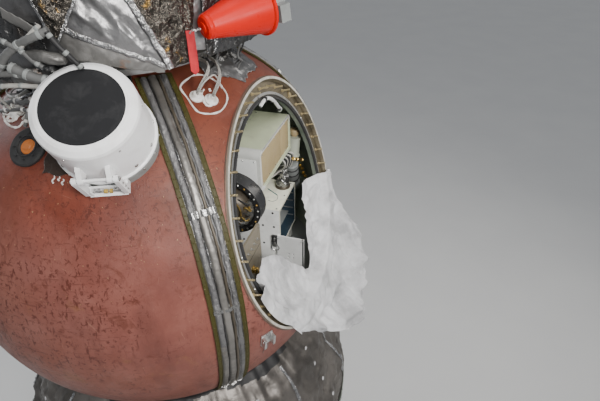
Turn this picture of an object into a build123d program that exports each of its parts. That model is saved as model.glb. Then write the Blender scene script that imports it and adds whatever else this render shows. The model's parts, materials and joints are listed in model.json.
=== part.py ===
from build123d import *
import os
from math import sin, cos, tan, radians, sqrt

# A recoverable research satellite: a spherical capsule with an open hatch,
# standing on its service module, with a battery module on top.
# Millimetres. +Z runs up the spacecraft axis, the open hatch faces -Y,
# and z = 0 is the underside of the aft adapter ring.

os.makedirs("parts", exist_ok=True)

# ---------------------------------------------------------------- sizes
Z_C = 4050.0          # centre of the capsule
R_C = 1150.0          # capsule outside radius
WALL = 55.0           # capsule wall: heat shield and hull together
R_IN = R_C - WALL

HATCH_EL = 15.3       # the hatch axis points 15.3 degrees above -Y
HATCH_R_IN = 600.0    # clear opening radius
HATCH_R_OUT = 720.0   # outside radius of the hatch frame
HATCH_H_BACK = 842.0  # heights along the hatch axis from the capsule centre
HATCH_H_FACE = 876.0
HATCH_H_LIP = 910.0
STUD_R, STUD_PCR, STUD_N, STUD_TOP = 5.0, 668.0, 40, 926.0

REAR_R = 600.0        # closed rear hatch
CHUTE_R = 430.0       # closed parachute hatch
GAP = 6.0             # groove around a closed hatch

STRAP_W = 164.0       # tension straps over the capsule
STRAP_T = 8.0
STRAP_AZ = (-135.0, -45.0, 45.0, 135.0)

DRUM_AZ, DRUM_EL = -156.4, 50.8   # exposure container
DRUM_SPLIT_H = 1190.0             # heights along its axis from the capsule centre
DRUM_LID_H = 1412.0
DRUM_TOP_H = 1442.0
DRUM_PIN_R, DRUM_PIN_H = 228.0, 1300.0   # lid hinge, on the lower side of the drum

R_AFT, R_MID, R_NECK = 1000.0, 1215.0, 800.0   # service module radii
Z_SKIRT, Z_MID0, Z_MID1, Z_NECK = 640.0, 1850.0, 2420.0, 3110.0

Z_BAT0, Z_BAT1 = Z_C + 1200.0, Z_C + 1760.0     # battery module
R_BAT = 668.0


def direction(az, el):
    a, e = radians(az), radians(el)
    return Vector(cos(e) * cos(a), cos(e) * sin(a), sin(e))


def facing(az, el, dist=0.0, centre=(0, 0, Z_C)):
    """Plane square to a radius of the capsule: z along the radius, x level."""
    n = direction(az, el)
    return Plane(origin=Vector(*centre) + n * dist,
                 x_dir=(-sin(radians(az)), cos(radians(az)), 0), z_dir=n)


def section(pl):
    """Plane through the axis of pl, for profiles in (radius, height)."""
    return Plane(origin=pl.origin, x_dir=pl.x_dir, z_dir=pl.x_dir.cross(pl.z_dir))


def on_ball(radius, r):
    """Height along an axis at which a ball has the radius r around it."""
    return sqrt(radius * radius - r * r)


def ball_arc(radius, r0, r1):
    rm = (r0 + r1) / 2
    return ThreePointArc((r0, on_ball(radius, r0)), (rm, on_ball(radius, rm)), (r1, on_ball(radius, r1)))


def save(part, label):
    part.label = label
    export_step(part, "parts/" + label + ".step")


HATCH = facing(-90.0, HATCH_EL)
REAR = facing(90.0, 0.0)
CHUTE = facing(0.0, 12.0)
DRUM = facing(DRUM_AZ, DRUM_EL)
AT_C = Plane.XY.offset(Z_C)          # level plane through the capsule centre

# ================================================================ service module
with BuildPart() as aft_adapter_ring:
    with BuildSketch(Plane.XY):
        Circle(R_AFT)
        Circle(R_AFT - 90, mode=Mode.SUBTRACT)
        with PolarLocations(R_AFT - 45, 12):
            Circle(9, mode=Mode.SUBTRACT)
    extrude(amount=26)
    with BuildSketch(Plane.XY.offset(26)):
        Circle(R_AFT - 12)
        Circle(R_AFT - 26, mode=Mode.SUBTRACT)
    extrude(amount=54)
save(aft_adapter_ring.part, "aft_adapter_ring")

# aft skirt: open cone shell between the adapter ring and the bulkhead
with BuildPart() as aft_skirt:
    with BuildSketch(Plane.XZ):
        with BuildLine():
            Polyline((R_AFT - 26, 80), (R_AFT - 12, 80), (1060, Z_SKIRT), (1046, Z_SKIRT), close=True)
        make_face()
    revolve(axis=Axis.Z)
save(aft_skirt.part, "aft_skirt")

with BuildPart() as aft_bulkhead:
    with BuildSketch(Plane.XZ):
        with BuildLine():
            Polyline((0, Z_SKIRT), (1072, Z_SKIRT), (1072, Z_SKIRT + 30), (0, Z_SKIRT + 30), close=True)
        make_face()
    revolve(axis=Axis.Z)
save(aft_bulkhead.part, "aft_bulkhead")

with BuildPart() as retro_engine:
    with BuildSketch(Plane.XZ):
        with BuildLine():
            Polyline((0, Z_SKIRT), (0, 430), (150, 430), (300, 470), (330, 520), (330, Z_SKIRT), close=True)
        make_face()
    revolve(axis=Axis.Z)
save(retro_engine.part, "retro_engine")

# bell nozzle, hollow, open below
with BuildPart() as engine_nozzle:
    with BuildSketch(Plane.XZ):
        with BuildLine():
            Polyline((62, 430), (62, 412), (150, 290), (196, 190), (204, 190),
                     (160, 290), (76, 412), (76, 430), close=True)
        make_face()
    revolve(axis=Axis.Z)
save(engine_nozzle.part, "engine_nozzle")

# four steering nozzles on the bulkhead
with BuildPart() as steering_nozzles:
    with BuildSketch(Plane.XZ):
        with BuildLine():
            Polyline((0, Z_SKIRT), (46, Z_SKIRT), (46, 560), (24, 540), (24, 520), (60, 430), (52, 430),
                     (16, 520), (0, 524), close=True)
        make_face()
    revolve(axis=Axis.Z)
one_nozzle = steering_nozzles.part
with BuildPart() as steering_nozzles:
    with PolarLocations(600, 4):
        add(one_nozzle)
save(steering_nozzles.part, "steering_nozzles")

# four ball tanks around the engine, each on a short post under the bulkhead
with BuildPart() as tank:
    with Locations((0, 0, 455)):
        Sphere(150)
    with BuildSketch(Plane.XY.offset(590)):
        Circle(50)
    extrude(amount=Z_SKIRT - 590)
with BuildPart() as aft_tanks:
    with PolarLocations(640, 4, start_angle=45):
        add(tank.part)
save(aft_tanks.part, "aft_tanks")

# cones and drum of the sealed instrument compartment
with BuildPart() as lower_cone:
    with BuildSketch(Plane.XZ):
        with BuildLine():
            Polyline((0, Z_SKIRT + 30), (1072, Z_SKIRT + 30), (R_MID - 15, Z_MID0), (0, Z_MID0), close=True)
        make_face()
    revolve(axis=Axis.Z)
save(lower_cone.part, "lower_cone")

with BuildPart() as mid_section:
    with BuildSketch(Plane.XZ):
        with BuildLine():
            Polyline((0, Z_MID0), (1250, Z_MID0), (1250, Z_MID0 + 26), (R_MID, Z_MID0 + 26),
                     (R_MID, Z_MID1 - 26), (1250, Z_MID1 - 26), (1250, Z_MID1), (0, Z_MID1), close=True)
        make_face()
    revolve(axis=Axis.Z)
save(mid_section.part, "mid_section")

with BuildPart() as upper_cone:
    with BuildSketch(Plane.XZ):
        with BuildLine():
            Polyline((0, Z_MID1), (R_MID - 15, Z_MID1), (R_NECK, Z_NECK - 60), (R_NECK, Z_NECK), (640, Z_NECK), (0, Z_C - R_C - 30), close=True)
        make_face()
        with Locations((0, Z_C)):
            Circle(R_C + 12, mode=Mode.SUBTRACT)
    revolve(axis=Axis.Z)
save(upper_cone.part, "upper_cone")

# eight radiator panels around the middle section: (centre azimuth, width in degrees)
RADIATORS = [(22.5 + 45 * k, 33.0) for k in range(8)]
with BuildPart() as radiator_panels:
    for az, width in RADIATORS:
        with BuildSketch(Plane.XZ) as profile:
            with Locations(((R_MID + 10 + R_MID + 24) / 2, (Z_MID0 + Z_MID1) / 2)):
                Rectangle(14, Z_MID1 - Z_MID0 - 120)
        revolve(axis=Axis.Z, revolution_arc=width, mode=Mode.ADD)
        break
one_panel = radiator_panels.part
with BuildPart() as stand_off:
    with BuildSketch(Plane.XZ):
        with Locations((R_MID + 5, (Z_MID0 + Z_MID1) / 2)):
            Rectangle(10, 60)
    revolve(axis=Axis.Z, revolution_arc=20)
one_stand = stand_off.part.rotate(Axis.Z, 6.5)
with BuildPart() as radiator_panels:
    for az, width in RADIATORS:
        add(one_panel.rotate(Axis.Z, az - width / 2))
        add(one_stand.rotate(Axis.Z, az - width / 2))
save(radiator_panels.part, "radiator_panels")

# seat ring under the capsule, hollowed to the ball
with BuildPart() as seat_ring:
    with BuildSketch(Plane.XZ):
        with BuildLine():
            Polyline((640, Z_NECK), (R_NECK, Z_NECK), (R_NECK, Z_NECK + 55), (800, Z_NECK + 85), (640, Z_NECK + 85), close=True)
        make_face()
        with Locations((0, Z_C)):
            Circle(R_C + 0.5, mode=Mode.SUBTRACT)
    revolve(axis=Axis.Z)
save(seat_ring.part, "seat_ring")

# crinkled blanket that closes the gap between the upper cone and the capsule
with BuildPart() as neck_blanket:
    with BuildSketch(Plane.XZ):
        with BuildLine():
            Polyline((812, Z_NECK - 40), (1195, Z_MID1 + 12), (1244, Z_MID1 + 12), (1215, Z_MID1 + 240),
                     (1010, Z_NECK - 10), (930, Z_NECK + 40), (870, Z_NECK + 40), (812, Z_NECK + 10), close=True)
        make_face()
        with Locations((0, Z_C)):
            Circle(R_C + 45, mode=Mode.SUBTRACT)
    revolve(axis=Axis.Z)
save(neck_blanket.part, "neck_blanket")

# four thruster blocks on the middle section
with BuildPart() as block:
    with BuildSketch(Plane.YZ.offset(R_MID - 4)):
        with Locations((0, 2135)):
            RectangleRounded(150, 200, 18)
    extrude(amount=78)
    with BuildSketch(Plane.XY.offset(2235)):
        with Locations((R_MID + 46, 0)):
            Circle(20)
            Circle(14, mode=Mode.SUBTRACT)
    extrude(amount=34)
    with BuildSketch(Plane.XY.offset(2035)):
        with Locations((R_MID + 46, 0)):
            Circle(20)
            Circle(14, mode=Mode.SUBTRACT)
    extrude(amount=-34)
    with BuildSketch(Plane.XZ.offset(75)):
        with Locations((R_MID + 46, 2135)):
            Circle(20)
            Circle(14, mode=Mode.SUBTRACT)
    extrude(amount=30)
    with BuildSketch(Plane.XZ.offset(-75)):
        with Locations((R_MID + 46, 2135)):
            Circle(20)
            Circle(14, mode=Mode.SUBTRACT)
    extrude(amount=-30)
with BuildPart() as trim_cut:
    with BuildSketch(Plane.XY.offset(1900)):
        Circle(R_MID)
    extrude(amount=500)
with BuildPart() as thruster_blocks:
    add(block.part)
    add(trim_cut.part, mode=Mode.SUBTRACT)
one_block = thruster_blocks.part
with BuildPart() as thruster_blocks:
    with PolarLocations(0.001, 4):
        add(one_block)
save(thruster_blocks.part, "thruster_blocks")

# ================================================================ rod antennas
# folded down along the lower cone; each swings out about a level pin
ANT_PIVOT_R, ANT_PIVOT_Z, ANT_LEN = 1300.0, 1790.0, 1450.0
ANTENNAS = [("rod_antenna_left", 180.0), ("rod_antenna_right", 0.0)]   # name, azimuth
with BuildPart() as bracket:
    with BuildSketch(Plane.XY.offset(Z_MID0)):
        with Locations((1250 - 15, 0)):
            Rectangle(30, 110)
    extrude(amount=-20)
    with BuildSketch(Plane.XZ.offset(55)):
        with BuildLine():
            Polyline((1180, Z_MID0 - 20), (1250, Z_MID0 - 20), (1325, ANT_PIVOT_Z + 12), (1325, ANT_PIVOT_Z - 25),
                     (1275, ANT_PIVOT_Z - 25), (1215, Z_MID0 - 80), close=True)
        make_face()
    extrude(amount=-14)
    with BuildSketch(Plane.XZ.offset(-41)):
        with BuildLine():
            Polyline((1180, Z_MID0 - 20), (1250, Z_MID0 - 20), (1325, ANT_PIVOT_Z + 12), (1325, ANT_PIVOT_Z - 25),
                     (1275, ANT_PIVOT_Z - 25), (1215, Z_MID0 - 80), close=True)
        make_face()
    extrude(amount=-14)
    with BuildSketch(Plane.XZ.offset(55)):
        with Locations((ANT_PIVOT_R, ANT_PIVOT_Z)):
            Circle(8)
    extrude(amount=-110)
with BuildPart() as antenna_brackets:
    with PolarLocations(0.001, 2):
        add(bracket.part)
    add(lower_cone.part, mode=Mode.SUBTRACT)
save(antenna_brackets.part, "antenna_brackets")

with BuildPart() as rod:
    with BuildSketch(Plane.XZ.offset(20)):
        with Locations((ANT_PIVOT_R, ANT_PIVOT_Z)):
            Circle(22)
    extrude(amount=-40)
    with BuildSketch(Plane.XY.offset(ANT_PIVOT_Z - 15)):
        with Locations((ANT_PIVOT_R, 0)):
            Circle(14)
    extrude(amount=-120)
    with BuildSketch(Plane.XY.offset(ANT_PIVOT_Z - 135)):
        with Locations((ANT_PIVOT_R, 0)):
            Circle(9)
    extrude(amount=-(ANT_LEN - 135))
    with BuildSketch(Plane.XZ.offset(20)):
        with Locations((ANT_PIVOT_R, ANT_PIVOT_Z)):
            Circle(8.05)
    extrude(amount=-40, mode=Mode.SUBTRACT)
for name, az in ANTENNAS:
    save(rod.part.rotate(Axis.Z, az), name)

# ================================================================ capsule
with BuildPart() as capsule_shell:
    with Locations((0, 0, Z_C)):
        Sphere(R_C)
        Sphere(R_IN, mode=Mode.SUBTRACT)
    for pl, r in ((HATCH, HATCH_R_OUT), (REAR, REAR_R), (CHUTE, CHUTE_R)):
        with BuildSketch(pl.offset(500)):
            Circle(r)
        extrude(amount=800, mode=Mode.SUBTRACT)
save(capsule_shell.part, "capsule_shell")

with BuildPart() as hatch_ring:
    with BuildSketch(section(HATCH)):
        with BuildLine():
            Polyline((HATCH_R_IN, HATCH_H_BACK), (HATCH_R_OUT, HATCH_H_BACK), (HATCH_R_OUT, HATCH_H_LIP),
                     (HATCH_R_OUT - 14, HATCH_H_LIP), (697, 888), (697, HATCH_H_FACE),
                     (614, HATCH_H_FACE), (614, HATCH_H_FACE - 10), (HATCH_R_IN, HATCH_H_FACE - 10), close=True)
        make_face()
    revolve(axis=Axis(HATCH.origin, HATCH.z_dir))
save(hatch_ring.part, "hatch_ring")

with BuildPart() as hatch_seal:
    with BuildSketch(section(HATCH)):
        with Locations((607, HATCH_H_FACE - 10 + 8)):
            RectangleRounded(14, 16, 4)
    revolve(axis=Axis(HATCH.origin, HATCH.z_dir))
save(hatch_seal.part, "hatch_seal")

with BuildPart() as hatch_studs:
    with BuildSketch(HATCH.offset(HATCH_H_FACE)):
        with PolarLocations(STUD_PCR, STUD_N):
            Circle(STUD_R)
    extrude(amount=STUD_TOP - HATCH_H_FACE)
save(hatch_studs.part, "hatch_studs")


def closed_cover(pl, r):
    """A shell cap that fills a round hole, with a groove at its outside edge."""
    with BuildPart() as cover:
        with BuildSketch(section(pl)):
            with BuildLine():
                Line((0, R_IN), (0, R_C))
                ball_arc(R_C, 0, r - GAP)
                Line((r - GAP, on_ball(R_C, r - GAP)), (r - GAP, on_ball(R_C - 22, r - GAP)))
                Line((r - GAP, on_ball(R_C - 22, r - GAP)), (r, on_ball(R_C - 22, r)))
                Line((r, on_ball(R_C - 22, r)), (r, on_ball(R_IN, r)))
                ball_arc(R_IN, r, 0)
            make_face()
        revolve(axis=Axis(pl.origin, pl.z_dir))
    return cover.part


save(closed_cover(REAR, REAR_R), "rear_hatch_cover")
save(closed_cover(CHUTE, CHUTE_R), "parachute_hatch_cover")


def band(az, r0, r1, side0, side1, el0, el1):
    """A band over the ball on the meridian az, from side0 to side1 across it."""
    a = radians(az)
    n = Vector(-sin(a), cos(a), 0)                       # square to the meridian plane
    pl = Plane(origin=(0, 0, Z_C), x_dir=(cos(a), sin(a), 0), z_dir=n)   # y_dir is down
    up = pl.y_dir.Z
    e0, e1 = (el0, el1) if up > 0 else (-el1, -el0)
    with BuildPart() as b:
        with BuildSketch(pl.offset(side0)):
            with BuildLine():
                CenterArc((0, 0), r1, e0, e1 - e0)
                Line((r1 * cos(radians(e1)), r1 * sin(radians(e1))), (r0 * cos(radians(e1)), r0 * sin(radians(e1))))
                CenterArc((0, 0), r0, e1, e0 - e1)
                Line((r0 * cos(radians(e0)), r0 * sin(radians(e0))), (r1 * cos(radians(e0)), r1 * sin(radians(e0))))
            make_face()
        extrude(amount=side1 - side0)
    return b.part


STRAP_EL = (-47.0, 66.0)
with BuildPart() as tension_straps:
    for az in STRAP_AZ:
        add(band(az, R_C + 1, R_C + 1 + STRAP_T, -STRAP_W / 2, STRAP_W / 2, *STRAP_EL))
save(tension_straps.part, "tension_straps")

# cable runs on the straps: (from, to) across the strap, height above it
RUNS = [(-58.0, -20.0, 22.0), (24.0, 56.0, 20.0)]
with BuildPart() as strap_cable_runs:
    for az in STRAP_AZ:
        for s0, s1, h in RUNS:
            add(band(az, R_C + 1 + STRAP_T, R_C + 1 + STRAP_T + h, s0, s1, STRAP_EL[0] + 1, STRAP_EL[1] - 1))
save(strap_cable_runs.part, "strap_cable_runs")

# strap ends: blocks against the seat ring, and a ring at the top
with BuildPart() as strap_feet:
    for az in STRAP_AZ:
        add(band(az, R_C + 1, R_C + 34, -62, 62, STRAP_EL[0] - 3.5, STRAP_EL[0] - 0.2))
    add(seat_ring.part, mode=Mode.SUBTRACT)
save(strap_feet.part, "strap_feet")

with BuildPart() as strap_top_ring:
    with BuildSketch(Plane.XZ):
        with BuildLine():
            Polyline((395, Z_C + 1090), (455, Z_C + 1066), (470, Z_C + 1072), (470, Z_C + 1100), (395, Z_C + 1125), close=True)
        make_face()
        with Locations((0, Z_C)):
            Circle(R_C + 0.5, mode=Mode.SUBTRACT)
    revolve(axis=Axis.Z)
save(strap_top_ring.part, "strap_top_ring")

# ================================================================ exposure container
DRUM_AX = Axis(DRUM.origin, DRUM.z_dir)
with BuildPart() as drum_skirt:
    with BuildSketch(section(DRUM)):
        with BuildLine():
            Polyline((0, 1120), (206, 1120), (206, 1178), (200, DRUM_SPLIT_H - 2), (0, DRUM_SPLIT_H - 2), close=True)
        make_face()
        with Locations((0, 0)):
            Circle(R_C + 0.5, mode=Mode.SUBTRACT)
    revolve(axis=DRUM_AX)
    add(band(STRAP_AZ[0], R_C - 20, R_C + 34, -STRAP_W / 2 - 3, STRAP_W / 2 + 3, *STRAP_EL), mode=Mode.SUBTRACT)
save(drum_skirt.part, "drum_skirt")

with BuildPart() as drum_lid:
    with BuildSketch(section(DRUM)):
        with BuildLine():
            Polyline((186, DRUM_SPLIT_H), (205, DRUM_SPLIT_H), (205, DRUM_SPLIT_H + 5), (199, DRUM_SPLIT_H + 9),
                     (194, DRUM_LID_H), (190, DRUM_LID_H + 12), (172, DRUM_TOP_H - 4), (160, DRUM_TOP_H),
                     (0, DRUM_TOP_H), (0, DRUM_TOP_H - 12), (156, DRUM_TOP_H - 12), (182, DRUM_LID_H - 8), close=True)
        make_face()
    revolve(axis=DRUM_AX)
save(drum_lid.part, "drum_lid")

with BuildPart() as drum_lid_disc:
    with BuildSketch(DRUM.offset(DRUM_TOP_H)):
        Circle(151)
    extrude(amount=2)
save(drum_lid_disc.part, "drum_lid_disc")

# sample trays: one on the base, one in the lid
with BuildPart() as drum_tray:
    with BuildSketch(DRUM.offset(DRUM_SPLIT_H - 2)):
        Circle(150)
    extrude(amount=12)
    with BuildSketch(DRUM.offset(DRUM_SPLIT_H + 10)):
        Circle(122)                 # the raised part stands clear of the lid's swing
    extrude(amount=24)
save(drum_tray.part, "drum_tray")
with BuildPart() as drum_lid_tray:
    with BuildSketch(DRUM.offset(DRUM_TOP_H - 12)):
        Circle(150)
    extrude(amount=-40)
save(drum_lid_tray.part, "drum_lid_tray")

# hinge on the lower side of the drum, its pin along the level tangent
DRUM_LOW = -DRUM.y_dir          # down the ball from the drum axis
hinge_sec = Plane(origin=DRUM.origin, x_dir=DRUM_LOW, z_dir=DRUM_LOW.cross(DRUM.z_dir))   # (outwards, height)
BODY_EARS = [(-84.0, -66.0), (66.0, 84.0)]      # from, to, along the pin
LID_EARS = [(-62.0, -44.0), (44.0, 62.0)]

with BuildPart() as drum_hinge_base:
    for a, b in BODY_EARS:
        with BuildSketch(hinge_sec.offset(a)):
            with BuildLine():
                Polyline((188, 1142), (236, 1142), (242, 1160), (242, DRUM_PIN_H), (214, DRUM_PIN_H), (214, 1196),
                         (210, DRUM_SPLIT_H - 5), (188, DRUM_SPLIT_H - 5), close=True)
            make_face()
            with Locations((DRUM_PIN_R, DRUM_PIN_H)):
                Circle(14)
        extrude(amount=b - a)
    with BuildSketch(hinge_sec.offset(BODY_EARS[0][0])):
        with Locations((DRUM_PIN_R, DRUM_PIN_H)):
            Circle(6)
    extrude(amount=BODY_EARS[1][1] - BODY_EARS[0][0])
    add(drum_skirt.part, mode=Mode.SUBTRACT)
save(drum_hinge_base.part, "drum_hinge_base")

with BuildPart() as drum_hinge_arms:
    for a, b in LID_EARS:
        with BuildSketch(hinge_sec.offset(a)):
            with BuildLine():
                Polyline((170, DRUM_PIN_H - 40), (200, DRUM_PIN_H - 30), (DRUM_PIN_R, DRUM_PIN_H - 13), (DRUM_PIN_R, DRUM_PIN_H + 13),
                         (200, DRUM_PIN_H + 34), (170, DRUM_PIN_H + 44), close=True)
            make_face()
            with Locations((DRUM_PIN_R, DRUM_PIN_H)):
                Circle(14)
                Circle(6.06, mode=Mode.SUBTRACT)
        extrude(amount=b - a)
    with BuildSketch(section(DRUM)):
        with BuildLine():
            Polyline((0, DRUM_SPLIT_H), (199, DRUM_SPLIT_H + 9), (194, DRUM_LID_H), (0, DRUM_LID_H), close=True)
        make_face()
    revolve(axis=DRUM_AX, mode=Mode.SUBTRACT)
save(drum_hinge_arms.part, "drum_hinge_arms")

# ================================================================ fittings on the ball
FITTINGS = facing(177.0, 48.5)
with BuildPart() as signal_port:
    with BuildSketch(section(FITTINGS)):
        with BuildLine():
            Polyline((0, 1100), (88, 1100), (88, 1158), (80, 1164), (40, 1164), (34, 1156), (0, 1156), close=True)
        make_face()
        Circle(R_C + 0.5, mode=Mode.SUBTRACT)
    revolve(axis=Axis(FITTINGS.origin, FITTINGS.z_dir))
save(signal_port.part, "signal_port")

BRACKET = facing(-125.5, -8.5)
with BuildPart() as skin_bracket:
    with BuildSketch(BRACKET.offset(R_C + 1)):
        RectangleRounded(70, 90, 6)
    extrude(amount=5)
    with BuildSketch(BRACKET.offset(R_C + 6)):
        with Locations((-27, 0), (27, 0)):
            Rectangle(12, 70)
    extrude(amount=30)
save(skin_bracket.part, "skin_bracket")

# ================================================================ battery module
TRUSS = [(22.5 + 45 * k) for k in range(8)]   # azimuths of the struts
with BuildPart() as strut:
    with BuildSketch(Plane(origin=(435, 0, Z_C + 1118), x_dir=(0, 1, 0), z_dir=(110, 0, 92))):
        Circle(16)
    extrude(amount=172)
with BuildPart() as strut_ends:
    with BuildSketch(Plane.XY.offset(Z_BAT0 + 10)):
        Circle(R_BAT)
    extrude(amount=60)
    add(strap_top_ring.part)
with BuildPart() as battery_struts:
    for az in TRUSS:
        add(strut.part.rotate(Axis.Z, az))
    add(strut_ends.part, mode=Mode.SUBTRACT)
save(battery_struts.part, "battery_struts")

with BuildPart() as battery_base_ring:
    with BuildSketch(Plane.XZ):
        with BuildLine():
            Polyline((0, Z_BAT0 + 10), (R_BAT, Z_BAT0 + 10), (R_BAT, Z_BAT0 + 50), (0, Z_BAT0 + 50), close=True)
        make_face()
    revolve(axis=Axis.Z)
save(battery_base_ring.part, "battery_base_ring")

with BuildPart() as battery_drum:
    with BuildSketch(Plane.XZ):
        with BuildLine():
            Polyline((0, Z_BAT0 + 50), (R_BAT - 30, Z_BAT0 + 50), (R_BAT - 30, Z_BAT1), (0, Z_BAT1), close=True)
        make_face()
    revolve(axis=Axis.Z)
save(battery_drum.part, "battery_drum")

with BuildPart() as battery_blanket:
    with BuildSketch(Plane.XZ):
        with BuildLine():
            Polyline((R_BAT - 28, Z_BAT1 - 10), (R_BAT - 28, Z_BAT0 + 52), (R_BAT + 2, Z_BAT0 + 52), (R_BAT + 2, Z_BAT0 - 10),
                     (R_BAT + 32, Z_BAT0 - 10), (R_BAT + 32, Z_BAT1 - 40), (R_BAT + 6, Z_BAT1 - 10), close=True)
        make_face()
    revolve(axis=Axis.Z)
save(battery_blanket.part, "battery_blanket")

with BuildPart() as top_cover:
    with BuildSketch(Plane.XZ):
        with BuildLine():
            Polyline((0, Z_BAT1), (R_BAT, Z_BAT1), (R_BAT, Z_BAT1 + 20), (540, Z_BAT1 + 60), (0, Z_BAT1 + 80), close=True)
        make_face()
    revolve(axis=Axis.Z)
save(top_cover.part, "top_cover")

with BuildPart() as lug:
    with BuildSketch(Plane.XZ.offset(-9)):
        with BuildLine():
            Polyline((560, Z_BAT1 + 30), (650, Z_BAT1 + 10), (624, Z_BAT1 + 110), (590, Z_BAT1 + 110), close=True)
        make_face()
        with Locations((607, Z_BAT1 + 80)):
            Circle(17, mode=Mode.SUBTRACT)
    extrude(amount=18)
with BuildPart() as lifting_lugs:
    with PolarLocations(0.001, 4, start_angle=45):
        add(lug.part)
    add(top_cover.part, mode=Mode.SUBTRACT)
save(lifting_lugs.part, "lifting_lugs")

# ================================================================ inside the capsule
DECK_Z, UPPER_Z = -470.0, 560.0      # undersides of the decks, from the capsule centre
with BuildPart() as inside_ball:
    with Locations((0, 0, Z_C)):
        Sphere(R_IN - 0.5)

with BuildPart() as instrument_deck:
    with BuildSketch(AT_C.offset(DECK_Z)):
        Circle(1010)
        with Locations((0, -1080)):
            Rectangle(1200, 200, mode=Mode.SUBTRACT)       # clear of the hatch frame
    extrude(amount=30)
    add(inside_ball.part, mode=Mode.INTERSECT)
save(instrument_deck.part, "instrument_deck")

with BuildPart() as upper_deck:
    with BuildSketch(AT_C.offset(UPPER_Z)):
        Circle(1000)
        with Locations((0, -750)):
            Rectangle(2200, 1000, mode=Mode.SUBTRACT)
    extrude(amount=20)
    add(inside_ball.part, mode=Mode.INTERSECT)
save(upper_deck.part, "upper_deck")

# posts from the lower deck: x, y, radius, top (from the capsule centre)
COLUMNS = [(-560, 420, 22, UPPER_Z), (560, 420, 22, UPPER_Z), (-640, -200, 22, UPPER_Z), (640, -200, 22, UPPER_Z),
           (30, -390, 18, 300), (480, -390, 18, 300)]
with BuildPart() as deck_columns:
    for x, y, r, top in COLUMNS:
        with BuildSketch(AT_C.offset(DECK_Z + 30)):
            with Locations((x, y)):
                Circle(r)
        extrude(amount=top - DECK_Z - 30)
save(deck_columns.part, "deck_columns")

# upper equipment box, behind the top of the opening
BOX_X, BOX_Y, BOX_Z = (-45.0, 525.0), (-708.0, -360.0), (300.0, 560.0)
with BuildPart() as payload_box:
    with BuildSketch(Plane.XZ.offset(-BOX_Y[0])):
        with Locations(((BOX_X[0] + BOX_X[1]) / 2, Z_C + (BOX_Z[0] + BOX_Z[1]) / 2)):
            Rectangle(BOX_X[1] - BOX_X[0], BOX_Z[1] - BOX_Z[0])
    extrude(amount=BOX_Y[0] - BOX_Y[1])
    fillet(payload_box.edges().filter_by(Axis.Y).group_by(Axis.Z)[-1], 42)
    with BuildSketch(Plane.XZ.offset(-BOX_Y[0])):
        with Locations(((BOX_X[0] + BOX_X[1]) / 2, Z_C + (BOX_Z[0] + BOX_Z[1]) / 2)):
            RectangleRounded(BOX_X[1] - BOX_X[0] - 44, BOX_Z[1] - BOX_Z[0] - 44, 14)
    extrude(amount=-8, mode=Mode.SUBTRACT)
save(payload_box.part, "payload_box")

# round instrument on the end of that box, facing -X
with BuildPart() as round_instrument:
    with BuildSketch(Plane(origin=(0, -545, Z_C + 235), x_dir=(0, 1, 0), z_dir=(1, 0, 0)).offset(-140)):
        Circle(184)
        Circle(152, mode=Mode.SUBTRACT)
    extrude(amount=70)
    with BuildSketch(Plane(origin=(0, -545, Z_C + 235), x_dir=(0, 1, 0), z_dir=(1, 0, 0)).offset(-70)):
        Circle(184)
    extrude(amount=25)
save(round_instrument.part, "round_instrument")

# rack: a housing open towards the hatch, on its pedestal
RACK_X, RACK_Y, RACK_Z = (160.0, 520.0), (-735.0, -430.0), (-300.0, 30.0)
with BuildPart() as rack_box:
    with BuildSketch(AT_C.offset(DECK_Z + 30)):
        with Locations(((RACK_X[0] + RACK_X[1]) / 2, (RACK_Y[0] + RACK_Y[1]) / 2 + 12)):
            Rectangle(RACK_X[1] - RACK_X[0] - 20, RACK_Y[1] - RACK_Y[0] - 24)
    extrude(amount=RACK_Z[0] - DECK_Z - 30)
    with BuildSketch(AT_C.offset(RACK_Z[0])):
        with Locations(((RACK_X[0] + RACK_X[1]) / 2, (RACK_Y[0] + RACK_Y[1]) / 2)):
            Rectangle(RACK_X[1] - RACK_X[0], RACK_Y[1] - RACK_Y[0])
    extrude(amount=RACK_Z[1] - RACK_Z[0])
    with BuildSketch(Plane.XZ.offset(-RACK_Y[0])):
        with Locations(((RACK_X[0] + RACK_X[1]) / 2, Z_C + (RACK_Z[0] + RACK_Z[1]) / 2)):
            Rectangle(RACK_X[1] - RACK_X[0] - 28, RACK_Z[1] - RACK_Z[0] - 28)
    extrude(amount=-235, mode=Mode.SUBTRACT)
save(rack_box.part, "rack_box")

# upright plate with four holes on the rack's side
with BuildPart() as guide_plate:
    with BuildSketch(Plane.YZ.offset(RACK_X[0])):
        with Locations((-810, Z_C - 305)):
            Rectangle(190, 270)
            for y, z in ((-16, 16), (16, 16), (-16, -16), (16, -16)):
                with Locations((y - 3, z - 23)):
                    Circle(8, mode=Mode.SUBTRACT)
    extrude(amount=-12)
save(guide_plate.part, "guide_plate")

# control panel at the lower left of the opening, on two legs
with BuildPart() as knob_panel:
    with BuildSketch(Plane.XZ.offset(714)):
        with Locations((-305, Z_C - 75)):
            RectangleRounded(290, 510, 26)
    extrude(amount=12)
    with BuildSketch(Plane.XZ.offset(700)):
        with Locations((-415, Z_C - 250), (-195, Z_C - 250)):
            Rectangle(30, 380)
    extrude(amount=14)
save(knob_panel.part, "knob_panel")

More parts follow.
